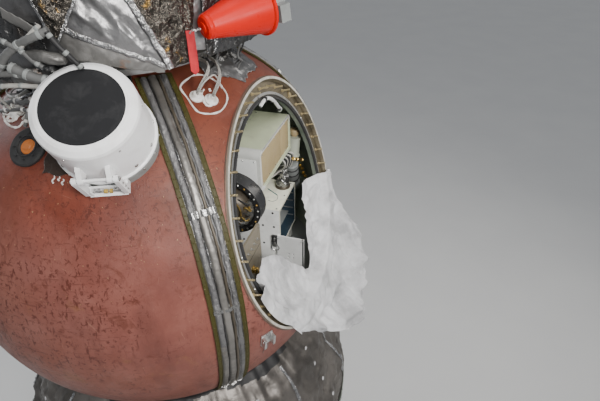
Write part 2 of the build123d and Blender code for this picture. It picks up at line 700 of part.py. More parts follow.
# ================================================================ cables between the capsule and the straps' top ring
# Each leaves a gland on the capsule and goes into the ring.  Points x, y, z from the capsule centre.
CABLES = {
    "feed_cable_1": (18.0, [(-324, -539, 988.5), (-331, -551, 1010), (-300, -568, 1045), (-250, -570, 1072),
                            (-200, -548, 1088), (-156, -497, 1092), (-140.8, -450.2, 1088)]),
    "feed_cable_2": (18.0, [(-290.5, -596.2, 967.1), (-298, -611.4, 991.9), (-270, -622, 1024), (-222, -612, 1050),
                            (-170, -582, 1070), (-112, -528, 1086), (-82.1, -465.6, 1088)]),
    "feed_cable_3": (18.0, [(-642, 191.6, 961), (-664, 202, 998), (-640, 252, 1050), (-570, 318, 1084),
                            (-470, 342, 1092), (-376.7, 283.9, 1088)]),
    "feed_cable_4": (18.0, [(-533, 157, 1031.4), (-548, 172, 1068), (-530, 240, 1100), (-478, 270, 1098),
                            (-408.5, 235.8, 1090)]),
}


def route_tube(name, points, diameter):
    """A round tube along straight runs joined by arcs as large as the runs allow."""
    pts = [Vector(x, y, z + Z_C) for x, y, z in points]
    radii = []
    for a, b, c in zip(pts, pts[1:], pts[2:]):
        turn = (b - a).get_angle(c - b)
        radii.append(0.45 * min((b - a).length, (c - b).length) / tan(radians(turn / 2)))
    with BuildPart() as tube:
        with BuildLine() as path:
            FilletPolyline(*pts, radius=radii)
        with BuildSketch(Plane(origin=pts[0], z_dir=pts[1] - pts[0])):
            Circle(diameter / 2)
        sweep()
    length = path.wires()[0].length
    area = 3.14159265 * diameter * diameter / 4
    print(name, "length %.0f mm" % length, "radii", [round(v) for v in radii],
          "volume / (section x length) %.3f" % (tube.part.volume / (area * length)))
    return tube.part


cables = {name: route_tube(name, points, diameter) for name, (diameter, points) in CABLES.items()}
for name in cables:
    save(cables[name], name)

# a gland where each cable leaves the capsule
with BuildPart() as cable_glands:
    for diameter, points in CABLES.values():
        n = Vector(*points[0]).normalized()
        gl = Plane(origin=(0, 0, Z_C), x_dir=Vector(-n.Y, n.X, 0).normalized(), z_dir=n)
        top = Vector(*points[0]).length
        with BuildSketch(section(gl)):
            with BuildLine():
                Polyline((0, 1130), (32, 1130), (32, 1156), (24, 1160), (17, top), (0, top), close=True)
            make_face()
            Circle(R_C + 0.5, mode=Mode.SUBTRACT)
        revolve(axis=Axis(gl.origin, gl.z_dir))
    for name in cables:
        add(cables[name], mode=Mode.SUBTRACT)
save(cable_glands.part, "cable_glands")

# ================================================================ red protective cover on the side of the battery module
COVER_A, COVER_B = Vector(-400, -650, Z_C + 1300), Vector(-160, -806, Z_C + 1341)   # axis: small end, wide end
COVER_PL = Plane(origin=COVER_A, x_dir=(0, 0, 1), z_dir=COVER_B - COVER_A)
cover_len = (COVER_B - COVER_A).length
with BuildPart() as red_cover:
    with BuildSketch(Plane(origin=COVER_A, x_dir=COVER_PL.x_dir, z_dir=COVER_PL.x_dir.cross(COVER_PL.z_dir))):
        with BuildLine():
            Polyline((0, 0), (40, 0), (48, 7), (50, 22), (110, cover_len - 16), (117, cover_len - 14), (117, cover_len), (0, cover_len), close=True)
        make_face()
    revolve(axis=Axis(COVER_PL.origin, COVER_PL.z_dir))
save(red_cover.part, "red_cover")

# what it covers: a short housing on a bracket
with BuildPart() as sensor_housing:
    with BuildSketch(COVER_PL.offset(cover_len)):
        Circle(80)
    extrude(amount=70)
    with BuildSketch(COVER_PL.offset(cover_len + 10)):
        with Locations(Location((-20, 60))):
            Rectangle(70, 120)
    extrude(amount=50)
    with BuildSketch(Plane.XY.offset(Z_BAT0 - 30)):
        Circle(R_BAT + 32.5)
    extrude(amount=300, mode=Mode.SUBTRACT)
save(sensor_housing.part, "sensor_housing")

# its ribbon tag, hanging on a cord from the small end
TAG_PL = Plane(origin=(-430, -605, Z_C + 1293), x_dir=(0.2788, -0.9603, 0), z_dir=(0.9603, 0.2788, 0))   # y hangs down
with BuildPart() as cover_tag:
    with BuildSketch(TAG_PL):
        with BuildLine():
            Polyline((-17, 0), (17, 0), (17, 158), (0, 175), (-17, 158), close=True)
        make_face()
        with BuildLine():
            Polyline((-3, 2), (3, 2), (44, -4), (44, -8), close=True)
        make_face()
    extrude(amount=1.5)
save(cover_tag.part, "cover_tag")

# ================================================================ white cloth over the lower sill of the hatch
UP_H = HATCH.y_dir if HATCH.y_dir.Z > 0 else -HATCH.y_dir
SILL = Plane(origin=HATCH.origin, x_dir=UP_H.cross(HATCH.z_dir), z_dir=HATCH.z_dir)    # x level, y up the hatch
with BuildPart() as sill_drape:
    with BuildSketch(SILL.offset(928)):
        with BuildLine():
            Polyline((-560, -150), (-330, -130), (-60, -330), (60, -330), (170, -400), (330, -450), (430, -390), (520, -290),
                     (560, -160), (735, -160), (772, -300), (750, -440), (640, -600), (430, -735), (250, -745),
                     (60, -752), (-120, -745), (-300, -690), (-420, -600), (-560, -420), close=True)
        make_face()
    extrude(amount=22)
    with BuildSketch(SILL.offset(862)):
        with BuildLine():
            Polyline((-500, -150), (-330, -130), (-60, -330), (60, -330), (170, -400), (300, -420), (400, -310), (530, -160),
                     (568, -172), (526, -270), (466, -363), (378, -455), (280, -516), (170, -556), (0, -590), (-170, -560),
                     (-330, -480), (-440, -380), (-500, -250), close=True)
        make_face()
    extrude(amount=68)
    with BuildSketch(Plane.XZ.offset(1076)):
        with BuildLine():
            Polyline((-380, Z_C - 395), (-200, Z_C - 442), (0, Z_C - 462), (180, Z_C - 446), (380, Z_C - 380), (520, Z_C - 260),
                     (600, Z_C - 150), (640, Z_C - 160), (640, Z_C - 420), (560, Z_C - 600),
                     (400, Z_C - 690), (120, Z_C - 735), (-160, Z_C - 725), (-370, Z_C - 660), close=True)
        make_face()
    extrude(amount=24)
save(sill_drape.part, "sill_drape")
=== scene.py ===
import json, math, random
import bpy, bmesh
import numpy as np
from mathutils import Vector, Matrix, noise


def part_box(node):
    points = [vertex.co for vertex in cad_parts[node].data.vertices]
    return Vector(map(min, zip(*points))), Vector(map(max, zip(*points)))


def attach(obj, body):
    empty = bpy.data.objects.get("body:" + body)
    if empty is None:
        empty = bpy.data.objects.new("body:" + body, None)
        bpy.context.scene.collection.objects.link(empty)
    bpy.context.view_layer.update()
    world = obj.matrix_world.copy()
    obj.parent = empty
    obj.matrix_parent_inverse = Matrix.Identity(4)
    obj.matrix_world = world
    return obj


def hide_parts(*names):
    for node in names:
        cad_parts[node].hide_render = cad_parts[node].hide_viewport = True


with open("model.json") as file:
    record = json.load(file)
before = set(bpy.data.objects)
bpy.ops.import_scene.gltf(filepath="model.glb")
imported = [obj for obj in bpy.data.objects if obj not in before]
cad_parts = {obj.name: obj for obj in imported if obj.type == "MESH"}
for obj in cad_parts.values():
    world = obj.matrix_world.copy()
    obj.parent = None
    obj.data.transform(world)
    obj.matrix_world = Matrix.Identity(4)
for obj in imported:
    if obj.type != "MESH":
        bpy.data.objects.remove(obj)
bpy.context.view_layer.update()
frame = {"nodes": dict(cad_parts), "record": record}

rng = random.Random(11)
C = Vector((0.0, 0.0, 4.05))          # centre of the capsule
R = 1.150                             # capsule outside radius
NODES = frame["nodes"]
SLOTS = [m["slot"] for m in frame["record"]["materials"]]
scene = bpy.context.scene

# ------------------------------------------------------------------ camera
cam_data = bpy.data.cameras.new("camera")
cam = bpy.data.objects.new("camera", cam_data)
scene.collection.objects.link(cam)
cam_data.sensor_width = 36.0
cam_data.lens = 27.0
cam_data.clip_start, cam_data.clip_end = 0.05, 100.0
_r = Vector((0.27410, -0.96167, -0.00703)); _u = Vector((0.54982, 0.15071, 0.82157)); _f = Vector((0.78903, 0.22906, -0.57006))
cam.matrix_world = Matrix(((_r.x, _u.x, -_f.x, -2.06538), (_r.y, _u.y, -_f.y, -1.52348), (_r.z, _u.z, -_f.z, 5.79811), (0, 0, 0, 1)))
scene.camera = cam


# ------------------------------------------------------------------ places on the ball
def rel(x, y, z):
    return Vector((x, y, z)) + C


def direction(az, el):
    a, e = math.radians(az), math.radians(el)
    return Vector((math.cos(e) * math.cos(a), math.cos(e) * math.sin(a), math.sin(e)))


def axes(az, el):
    """Outwards, level and up-the-ball directions at a place on the capsule."""
    n = direction(az, el)
    ex = Vector((-math.sin(math.radians(az)), math.cos(math.radians(az)), 0))
    return n, ex, n.cross(ex)


def on_ball(az, el, dx=0.0, dy=0.0, h=0.0):
    """A point near (az, el), moved dx level and dy up along the capsule, h above its skin."""
    n, ex, ey = axes(az, el)
    return C + (n * R + ex * dx + ey * dy).normalized() * (R + h)


def around(z, r, az):
    """A point at a radius about the spacecraft axis, z from the capsule centre."""
    a = math.radians(az)
    return Vector((r * math.cos(a), r * math.sin(a), z + C.z))


def lerp(a, b, t):
    return a + (b - a) * t


def smooth(t):
    t = max(0.0, min(1.0, t))
    return t * t * (3 - 2 * t)


def table(x, rows):
    """Value at x from rows of (x, value), straight between them."""
    if x <= rows[0][0]:
        return rows[0][1]
    for (a, va), (b, vb) in zip(rows, rows[1:]):
        if x <= b:
            return va + (vb - va) * (x - a) / (b - a)
    return rows[-1][1]


def nz(p, f, seed=0.0):
    return noise.noise(Vector((p[0] * f + seed, p[1] * f + seed * 1.7, p[2] * f - seed)))


def crumple(p, f, seed=0.0):
    """Height of crumpled film, -1 to 1: flat facets between sharp folds."""
    a = 1 - 2 * abs(nz(p, f, seed)) * 1.6
    b = 1 - 2 * abs(nz(p, f * 2.3, seed + 5.1)) * 1.6
    return 0.65 * a + 0.35 * b - 0.35


# ------------------------------------------------------------------ materials
class Mat:
    def __init__(self, name, rough=0.5, metal=0.0, base=(0.5, 0.5, 0.5)):
        self.m = bpy.data.materials.new(name)
        self.m.use_nodes = True
        self.nt = self.m.node_tree
        self.nt.nodes.clear()
        out = self.nt.nodes.new("ShaderNodeOutputMaterial")
        self.b = self.nt.nodes.new("ShaderNodeBsdfPrincipled")
        self.nt.links.new(self.b.outputs[0], out.inputs[0])
        self.co = self.nt.nodes.new("ShaderNodeTexCoord").outputs["Object"]
        self.set(rough=rough, metal=metal, base=base)

    def put(self, sock, v):
        if isinstance(v, bpy.types.NodeSocket):
            self.nt.links.new(v, sock)
        elif isinstance(v, (tuple, list)) and len(v) == 3 and sock.type == "RGBA":
            sock.default_value = (*v, 1)
        else:
            sock.default_value = v

    def set(self, **kw):
        names = {"base": "Base Color", "rough": "Roughness", "metal": "Metallic", "normal": "Normal", "sheen": "Sheen Weight",
                 "coat": "Coat Weight", "coat_rough": "Coat Roughness", "ior": "IOR", "spec": "Specular IOR Level",
                 "trans": "Transmission Weight", "alpha": "Alpha", "sheen_rough": "Sheen Roughness"}
        for k, v in kw.items():
            self.put(self.b.inputs[names[k]], v)
        return self

    def noise(self, scale, detail=4.0, rough=0.55, dist=0.0, vec=None):
        n = self.nt.nodes.new("ShaderNodeTexNoise")
        self.nt.links.new(vec or self.co, n.inputs["Vector"])
        n.inputs["Scale"].default_value = scale
        n.inputs["Detail"].default_value = detail
        n.inputs["Roughness"].default_value = rough
        n.inputs["Distortion"].default_value = dist
        return n.outputs[0]

    def voronoi(self, scale, feature="F1", vec=None, rand=1.0, out=0):
        n = self.nt.nodes.new("ShaderNodeTexVoronoi")
        n.feature = feature
        self.nt.links.new(vec or self.co, n.inputs["Vector"])
        n.inputs["Scale"].default_value = scale
        n.inputs["Randomness"].default_value = rand
        return n.outputs[out]

    def wave(self, scale, dist=0.0, direction="X", vec=None, detail=2.0, profile="SIN", dscale=1.0):
        n = self.nt.nodes.new("ShaderNodeTexWave")
        n.bands_direction = direction
        n.wave_profile = profile
        self.nt.links.new(vec or self.co, n.inputs["Vector"])
        n.inputs["Scale"].default_value = scale
        n.inputs["Distortion"].default_value = dist
        n.inputs["Detail"].default_value = detail
        n.inputs["Detail Scale"].default_value = dscale
        return n.outputs[1]

    def mapping(self, scale=(1, 1, 1), rot=(0, 0, 0), loc=(0, 0, 0), vec=None):
        n = self.nt.nodes.new("ShaderNodeMapping")
        self.nt.links.new(vec or self.co, n.inputs["Vector"])
        n.inputs["Scale"].default_value = scale
        n.inputs["Rotation"].default_value = rot
        n.inputs["Location"].default_value = loc
        return n.outputs[0]

    def ramp(self, fac, stops, ease="LINEAR"):
        n = self.nt.nodes.new("ShaderNodeValToRGB")
        n.color_ramp.interpolation = ease
        self.nt.links.new(fac, n.inputs[0])
        els = n.color_ramp.elements
        while len(els) < len(stops):
            els.new(0.5)
        for e, (p, c) in zip(els, stops):
            e.position = p
            e.color = (c, c, c, 1) if isinstance(c, (int, float)) else (*c, 1)
        return n.outputs[0]

    def mix(self, fac, a, b, blend="MIX"):
        n = self.nt.nodes.new("ShaderNodeMix")
        n.data_type = "RGBA"
        n.blend_type = blend
        self.put(n.inputs[0], fac)
        self.put(n.inputs[6], (*a, 1) if isinstance(a, tuple) else a)
        self.put(n.inputs[7], (*b, 1) if isinstance(b, tuple) else b)
        return n.outputs[2]

    def math(self, op, a, b=None, c=None, clamp=False):
        n = self.nt.nodes.new("ShaderNodeMath")
        n.operation = op
        n.use_clamp = clamp
        self.put(n.inputs[0], a)
        if b is not None:
            self.put(n.inputs[1], b)
        if c is not None:
            self.put(n.inputs[2], c)
        return n.outputs[0]

    def vmath(self, op, a, b=None, out=0):
        n = self.nt.nodes.new("ShaderNodeVectorMath")
        n.operation = op
        self.put(n.inputs[0], a)
        if b is not None:
            self.put(n.inputs[1], b)
        return n.outputs[out]

    def range(self, v, a, b, c=0.0, d=1.0):
        n = self.nt.nodes.new("ShaderNodeMapRange")
        self.put(n.inputs[0], v)
        for i, x in enumerate((a, b, c, d)):
            n.inputs[i + 1].default_value = x
        return n.outputs[0]

    def bump(self, height, strength=0.4, dist=0.002, normal=None):
        n = self.nt.nodes.new("ShaderNodeBump")
        n.inputs["Strength"].default_value = strength
        n.inputs["Distance"].default_value = dist
        self.put(n.inputs["Height"], height)
        if normal is not None:
            self.nt.links.new(normal, n.inputs["Normal"])
        self.put(self.b.inputs["Normal"], n.outputs[0])
        return n.outputs[0]

    def height_about(self, origin, axis):
        """Sockets: distance from an axis, and height along it."""
        d = self.vmath("SUBTRACT", self.co, tuple(origin))
        h = self.vmath("DOT_PRODUCT", d, tuple(axis), out=1)
        n = self.nt.nodes.new("ShaderNodeVectorMath")
        n.operation = "SCALE"
        n.inputs[0].default_value = tuple(axis)
        self.put(n.inputs["Scale"], h)
        r = self.vmath("LENGTH", self.vmath("SUBTRACT", d, n.outputs[0]), out=1)
        return r, h


def worn(name, base, rough=0.45, metal=0.0, dirt=(0.12, 0.10, 0.08), amount=0.35, grain=0.15, fleck=None):
    """Painted or bare metal with soft colour changes, dirt, fine grain and small marks."""
    k = Mat(name, rough=rough, metal=metal, base=base)
    big = k.noise(2.6, 5, 0.6)
    lo = tuple(max(0.0, c * 0.86) for c in base)
    hi = tuple(min(1.0, c * 1.10) for c in base)
    col = k.mix(k.ramp(big, [(0.35, 0.0), (0.68, 1.0)]), lo, hi)
    spots = k.ramp(k.noise(11, 7, 0.65, 0.4), [(0.52, 0.0), (0.74, 1.0)])
    col = k.mix(k.math("MULTIPLY", spots, amount), col, dirt)
    if fleck:
        f = k.ramp(k.noise(95, 2, 0.5), [(0.69, 0.0), (0.73, 1.0)])
        col = k.mix(f, col, fleck)
    k.set(base=col)
    k.set(rough=k.range(k.noise(17, 5, 0.6), 0.3, 0.75, max(0.05, rough - 0.09), min(1.0, rough + 0.12)))
    k.bump(k.noise(240, 3, 0.6), grain, 0.0008)
    return k.m


def m_ablator():
    k = Mat("ablator_skin", rough=0.5)
    rel_co = k.vmath("SUBTRACT", k.co, tuple(C))
    sep = k.nt.nodes.new("ShaderNodeSeparateXYZ")
    k.nt.links.new(rel_co, sep.inputs[0])
    zc = sep.outputs[2]
    big = k.noise(1.7, 6, 0.62, 0.3)
    red = k.ramp(big, [(0.30, (0.070, 0.015, 0.008)), (0.46, (0.142, 0.030, 0.016)), (0.60, (0.200, 0.046, 0.026)), (0.74, (0.262, 0.070, 0.044))])
    highlight_rose = k.ramp(k.noise(2.3, 6, 0.6, 0.2), [(0.30, (0.150, 0.046, 0.035)), (0.48, (0.225, 0.078, 0.060)), (0.70, (0.290, 0.118, 0.094))])
    # painted flash highlight and shade: a paler pink band round the middle, reaching higher on the -x side, is a
    # painted highlight; the top and the foot are left darker and redder as painted shade
    patch = k.math("ADD", k.math("ADD", zc, k.math("MULTIPLY", sep.outputs[0], 0.35)), k.math("MULTIPLY", k.math("SUBTRACT", k.noise(1.6, 5, 0.6, 0.4), 0.5), 0.9))
    painted_lit_band = k.math("MULTIPLY", k.range(patch, 0.42, 0.10), k.range(patch, -1.30, -1.00))
    col = k.mix(k.math("MULTIPLY", painted_lit_band, 0.85), red, highlight_rose)
    warm = k.ramp(k.noise(1.1, 3, 0.5), [(0.46, 0.0), (0.66, 1.0)])
    col = k.mix(k.math("MULTIPLY", warm, 0.42), col, (0.225, 0.062, 0.026))
    # long smears down the ball and across it
    smear = k.noise(1.0, 6, 0.62, 0.2, k.mapping((7.5, 7.5, 1.5)))
    col = k.mix(k.math("MULTIPLY", k.ramp(smear, [(0.52, 0.0), (0.74, 1.0)]), 0.45), col, (0.075, 0.020, 0.014))
    smear2 = k.noise(1.0, 6, 0.6, 0.3, k.mapping((2.2, 9.0, 11.0), (0.3, 0.5, 0.2)))
    col = k.mix(k.math("MULTIPLY", k.ramp(smear2, [(0.55, 0.0), (0.78, 1.0)]), 0.26), col, (0.34, 0.145, 0.115))
    # dark speckles, runs and a fine crackle, gathered in patches
    crowd = k.ramp(k.noise(2.4, 5, 0.62, 0.5), [(0.41, 0.0), (0.56, 1.0)])
    dots = k.ramp(k.noise(52, 5, 0.62, 0.6), [(0.560, 0.0), (0.625, 1.0)])
    runs = k.ramp(k.noise(1.0, 4, 0.6, 0.2, k.mapping((64, 64, 12))), [(0.580, 0.0), (0.650, 1.0)])
    rows = k.ramp(k.noise(1.0, 4, 0.6, 0.2, k.mapping((9, 9, 95))), [(0.600, 0.0), (0.660, 1.0)])
    net = k.ramp(k.voronoi(24, "DISTANCE_TO_EDGE"), [(0.0, 1.0), (0.055, 0.0)])
    dark = k.math("MAXIMUM", dots, k.math("MAXIMUM", runs, k.math("MULTIPLY", rows, 0.7)))
    dark = k.math("MULTIPLY", dark, k.math("ADD", k.math("MULTIPLY", crowd, 0.85), 0.10))
    col = k.mix(k.math("MULTIPLY", dark, 0.84), col, (0.080, 0.015, 0.008))
    net = k.math("MULTIPLY", k.math("MULTIPLY", net, k.ramp(k.noise(1.3, 4, 0.6, 0.3), [(0.55, 0.0), (0.64, 1.0)])), k.ramp(k.noise(30, 3, 0.6), [(0.46, 0.0), (0.58, 1.0)]))
    col = k.mix(k.math("MULTIPLY", net, 0.55), col, (0.120, 0.022, 0.010))
    blot = k.ramp(k.noise(11, 6, 0.66, 0.8), [(0.60, 0.0), (0.68, 1.0)])
    col = k.mix(k.math("MULTIPLY", blot, 0.56), col, (0.100, 0.022, 0.010))
    ochre = k.ramp(k.noise(5.0, 7, 0.7, 0.6), [(0.61, 0.0), (0.69, 1.0)])
    col = k.mix(k.math("MULTIPLY", ochre, 0.26), col, (0.260, 0.120, 0.040))
    # scratches and pale chips, most of them near the top
    s1 = k.noise(1.0, 2, 0.4, 0.0, k.mapping((210, 9, 14), (0.5, 0.2, 0.9)))
    s2 = k.noise(1.0, 2, 0.4, 0.0, k.mapping((12, 190, 10), (0.2, 0.7, 0.3)))
    thin = k.math("MAXIMUM", k.ramp(s1, [(0.735, 0.0), (0.75, 1.0)]), k.ramp(s2, [(0.745, 0.0), (0.76, 1.0)]))
    col = k.mix(k.math("MULTIPLY", thin, 0.26), col, (0.40, 0.20, 0.14))
    fleck = k.ramp(k.noise(85, 2, 0.5), [(0.728, 0.0), (0.748, 1.0)])
    fleck = k.math("MULTIPLY", fleck, k.range(zc, -0.05, 0.55, 0.02, 0.60))
    col = k.mix(fleck, col, (0.50, 0.34, 0.17))
    far = k.vmath("LENGTH", rel_co, None, 1)
    lining = k.ramp(k.noise(5, 5, 0.6), [(0.35, (0.22, 0.26, 0.20)), (0.62, (0.42, 0.47, 0.38))])
    col = k.mix(k.math("LESS_THAN", far, 1.12), col, lining)
    k.set(base=col)
    k.set(rough=k.range(k.noise(6, 6, 0.65), 0.32, 0.72, 0.42, 0.64))
    h = k.math("ADD", k.math("MULTIPLY", k.noise(26, 5, 0.6), 1.0), k.math("MULTIPLY", k.noise(150, 3, 0.6), 0.35))
    h = k.math("SUBTRACT", h, k.math("MULTIPLY", k.math("ADD", thin, dark), 0.35))
    k.bump(h, 0.28, 0.004)
    return k.m


HATCH_N = Vector((0, -math.cos(math.radians(15.3)), math.sin(math.radians(15.3))))
HATCH_U = Vector((0, HATCH_N.z, -HATCH_N.y))


def m_hatch_ring():
    k = Mat("hatch_frame", rough=0.42, metal=0.35)
    r, h = k.height_about(C, HATCH_N)
    grime = k.noise(9, 6, 0.65, 0.5)
    olive = k.ramp(grime, [(0.35, (0.062, 0.050, 0.030)), (0.55, (0.135, 0.112, 0.070)), (0.72, (0.225, 0.190, 0.128))])
    tool = k.noise(1.0, 3, 0.5, 0.0, k.mapping((3, 120, 120)))
    olive = k.mix(k.math("MULTIPLY", k.ramp(tool, [(0.5, 0.0), (0.8, 1.0)]), 0.35), olive, (0.36, 0.31, 0.20))
    cream = k.ramp(k.noise(16, 5, 0.6), [(0.35, (0.40, 0.38, 0.32)), (0.6, (0.62, 0.60, 0.54))])
    lip = k.ramp(h, [(0.0, 0.0), (1.0, 1.0)])
    lip = k.math("MULTIPLY", k.range(h, 0.9055, 0.9085), k.range(r, 0.7035, 0.7060))
    col = k.mix(lip, olive, cream)
    side = k.range(r, 0.7185, 0.7195)
    col = k.mix(k.math("MULTIPLY", side, 0.85), col, (0.30, 0.27, 0.22))
    bore = k.math("LESS_THAN", r, 0.6145)
    green = k.ramp(k.noise(4, 4, 0.6), [(0.35, (0.10, 0.125, 0.10)), (0.65, (0.22, 0.25, 0.21))])
    col = k.mix(bore, col, green)
    k.set(base=col)
    k.set(metal=k.math("MULTIPLY", k.math("SUBTRACT", 1.0, lip), 0.35), rough=k.range(grime, 0.3, 0.7, 0.30, 0.55))
    k.bump(k.math("ADD", k.noise(120, 3, 0.6), k.math("MULTIPLY", tool, 0.6)), 0.22, 0.0012)
    return k.m


def m_foil(name, base=(0.60, 0.60, 0.61), rough=0.28, scale=30.0, tint=None, dark=0.45, strength=0.85, dist=0.006, at=(0.50, 0.62)):
    """Crinkled metallised film."""
    k = Mat(name, rough=rough, metal=0.92, base=base)
    warp = k.noise(7, 3, 0.6)
    swirl = k.nt.nodes.new("ShaderNodeTexNoise")
    k.nt.links.new(k.co, swirl.inputs["Vector"])
    swirl.inputs["Scale"].default_value = 9.0
    vec = k.vmath("ADD", k.co, k.mapping((0.05, 0.05, 0.05), vec=swirl.outputs[1]))
    v1 = k.voronoi(scale, "DISTANCE_TO_EDGE", vec)
    v2 = k.voronoi(scale * 2.7, "DISTANCE_TO_EDGE", vec)
    n1 = k.math("ABSOLUTE", k.math("SUBTRACT", k.noise(scale * 0.8, 5, 0.65, 0.6), 0.5))
    h = k.math("ADD", k.math("MULTIPLY", v1, 1.2), k.math("ADD", k.math("MULTIPLY", v2, 0.5), k.math("MULTIPLY", n1, 1.8)))
    lo = tuple(c * dark for c in base)
    col = k.mix(k.ramp(warp, [(0.36, 0.0), (0.62, 1.0)]), lo, base)
    if tint:
        col = k.mix(k.ramp(k.noise(9, 5, 0.6, 0.8), [(at[0], 0.0), (at[1], 1.0)]), col, tint)
    k.set(base=col)
    k.set(rough=k.range(n1, 0.0, 0.35, rough * 0.7, rough * 1.7))
    k.bump(h, strength, dist)
    return k.m


def m_film(name, base, rough=0.38, metal=0.85, dirt=(0.10, 0.10, 0.10), stain=None):
    """Smooth draped film with soft creases."""
    k = Mat(name, rough=rough, metal=metal, base=base)
    n = k.noise(3.0, 5, 0.6, 0.4)
    col = k.ramp(n, [(0.32, tuple(c * 0.45 for c in base)), (0.52, base), (0.72, tuple(min(1, c * 1.45) for c in base))])
    col = k.mix(k.math("MULTIPLY", k.ramp(k.noise(16, 6, 0.66, 0.5), [(0.55, 0.0), (0.70, 1.0)]), 0.5), col, dirt)
    if stain:
        col = k.mix(k.math("MULTIPLY", k.ramp(k.noise(7, 4, 0.6, 0.3), [(0.60, 0.0), (0.68, 1.0)]), 0.7), col, stain)
    k.set(base=col)
    cre = k.math("ABSOLUTE", k.math("SUBTRACT", k.noise(11, 4, 0.6, 1.2), 0.5))
    k.set(rough=k.range(cre, 0.0, 0.3, rough * 0.8, rough * 1.4))
    k.bump(k.math("ADD", k.math("MULTIPLY", cre, 1.4), k.math("MULTIPLY", k.noise(70, 4, 0.6), 0.25)), 0.5, 0.006)
    return k.m


def m_cloth(name, base=(0.74, 0.74, 0.73), weave=420.0, sheen=0.25):
    k = Mat(name, rough=0.86, base=base)
    # painted shade and light: soft darker and paler patches in the colour stand in for shaded and lit folds
    n = k.noise(5, 4, 0.6)
    col = k.ramp(n, [(0.36, tuple(c * 0.62 for c in base)), (0.47, tuple(c * 0.86 for c in base)), (0.60, tuple(min(1, c * 1.10) for c in base))])
    k.set(base=col, sheen=sheen, sheen_rough=0.4)
    w = k.math("ADD", k.wave(weave, 0.6, "X", profile="SIN"), k.wave(weave, 0.6, "Z", profile="SIN"))
    crease = k.math("ABSOLUTE", k.math("SUBTRACT", k.noise(7.5, 3, 0.5, 0.9), 0.5))
    k.bump(k.math("ADD", k.math("MULTIPLY", w, 0.03), k.math("MULTIPLY", crease, 3.0)), 0.75, 0.010)
    return k.m


def m_braid(name, base=(0.66, 0.65, 0.60), dark=(0.20, 0.19, 0.17)):
    k = Mat(name, rough=0.72, base=base)
    v = k.voronoi(330, "F1")
    w = k.wave(130, 1.5, "DIAGONAL")
    col = k.mix(k.ramp(v, [(0.25, 0.0), (0.75, 0.8)]), base, dark)
    col = k.mix(k.math("MULTIPLY", k.ramp(k.noise(26, 4, 0.6), [(0.48, 0.0), (0.7, 1.0)]), 0.5), col, dark)
    k.set(base=col)
    k.bump(k.math("ADD", k.math("MULTIPLY", w, 0.5), v), 0.5, 0.0012)
    return k.m


def m_sealant():
    k = Mat("sealant_white", rough=0.55, base=(0.80, 0.80, 0.78))
    k.set(base=k.ramp(k.noise(30, 5, 0.6), [(0.35, (0.56, 0.52, 0.48)), (0.55, (0.80, 0.79, 0.77))]))
    k.bump(k.noise(120, 4, 0.6), 0.5, 0.0015)
    return k.m


MATS = {
    "ablator": m_ablator(),
    "alloy_frame": m_hatch_ring(),
    "rubber_seal": worn("rubber_seal", (0.020, 0.020, 0.021), 0.72, 0, (0.06, 0.06, 0.055), 0.5, 0.25),
    "steel_studs": worn("stud_metal", (0.60, 0.50, 0.30), 0.34, 0.70, (0.24, 0.17, 0.08), 0.5, 0.2),
    "olive_strap": worn("olive_paint", (0.054, 0.048, 0.012), 0.55, 0.0, (0.030, 0.026, 0.012), 0.5, 0.2, (0.15, 0.13, 0.07)),
    "foil_wrap": m_foil("foil_tape", (0.38, 0.378, 0.37), 0.34, 60, None, 0.72, 0.35, 0.003),
    "white_paint": worn("white_paint", (0.90, 0.905, 0.91), 0.36, 0, (0.52, 0.49, 0.44), 0.30, 0.10),
    "dark_paint": worn("charcoal_paint", (0.013, 0.0135, 0.015), 0.52, 0, (0.050, 0.050, 0.052), 0.5, 0.12),
    "blanket": m_film("blanket_film", (0.250, 0.248, 0.250), 0.42, 0.80),
    "grey_paint": worn("grey_paint", (0.26, 0.275, 0.27), 0.48, 0, (0.10, 0.10, 0.09), 0.4, 0.15),
    "green_grey_paint": worn("green_grey_paint", (0.125, 0.155, 0.120), 0.50, 0, (0.05, 0.055, 0.045), 0.45, 0.15, (0.36, 0.38, 0.34)),
    "bare_alloy": worn("bare_alloy", (0.58, 0.58, 0.57), 0.32, 0.9, (0.28, 0.27, 0.25), 0.4, 0.15),
    "nozzle_steel": worn("nozzle_steel", (0.26, 0.22, 0.19), 0.36, 0.9, (0.10, 0.07, 0.09), 0.7, 0.2),
    "pale_green_paint": worn("pale_green_paint", (0.44, 0.47, 0.385), 0.46, 0, (0.30, 0.31, 0.26), 0.25, 0.10),
    "cream_paint": worn("cream_paint", (0.68, 0.665, 0.55), 0.42, 0, (0.42, 0.40, 0.31), 0.25, 0.10),
    "red_plastic": worn("red_cover_plastic", (0.62, 0.008, 0.002), 0.34, 0, (0.46, 0.007, 0.002), 0.30, 0.04),
    "red_ribbon": m_cloth("red_ribbon", (0.60, 0.030, 0.040), 900, 0.12),
    "white_cloth": m_cloth("white_cloth", (0.63, 0.632, 0.645), 420, 0.08),
    "cable_jacket": m_braid("cable_sleeve", (0.52, 0.51, 0.47), (0.14, 0.13, 0.12)),
}
for _n, _v in (("red_plastic", 0.22), ("dark_paint", 0.22), ("olive_strap", 0.25)):
    next(n for n in MATS[_n].node_tree.nodes if n.type == "BSDF_PRINCIPLED").inputs["Specular IOR Level"].default_value = _v
X_SEAL = m_sealant()
X_STRAPFOIL = m_foil("strap_foil", (0.205, 0.203, 0.205), 0.46, 60, None, 0.66, 0.70, 0.004)
next(n for n in X_STRAPFOIL.node_tree.nodes if n.type == "BSDF_PRINCIPLED").inputs["Metallic"].default_value = 0.50
X_BLACK = worn("black_rubber", (0.016, 0.016, 0.017), 0.60, 0, (0.05, 0.05, 0.05), 0.4, 0.2)
X_FOIL_BRIGHT = m_foil("foil_bright", (0.52, 0.52, 0.525), 0.26, 55, None, 0.5, 0.7, 0.005)
X_FOIL_DARK = m_foil("foil_grey", (0.165, 0.165, 0.165), 0.36, 24, (0.075, 0.068, 0.062), 0.45, 0.6, 0.007)
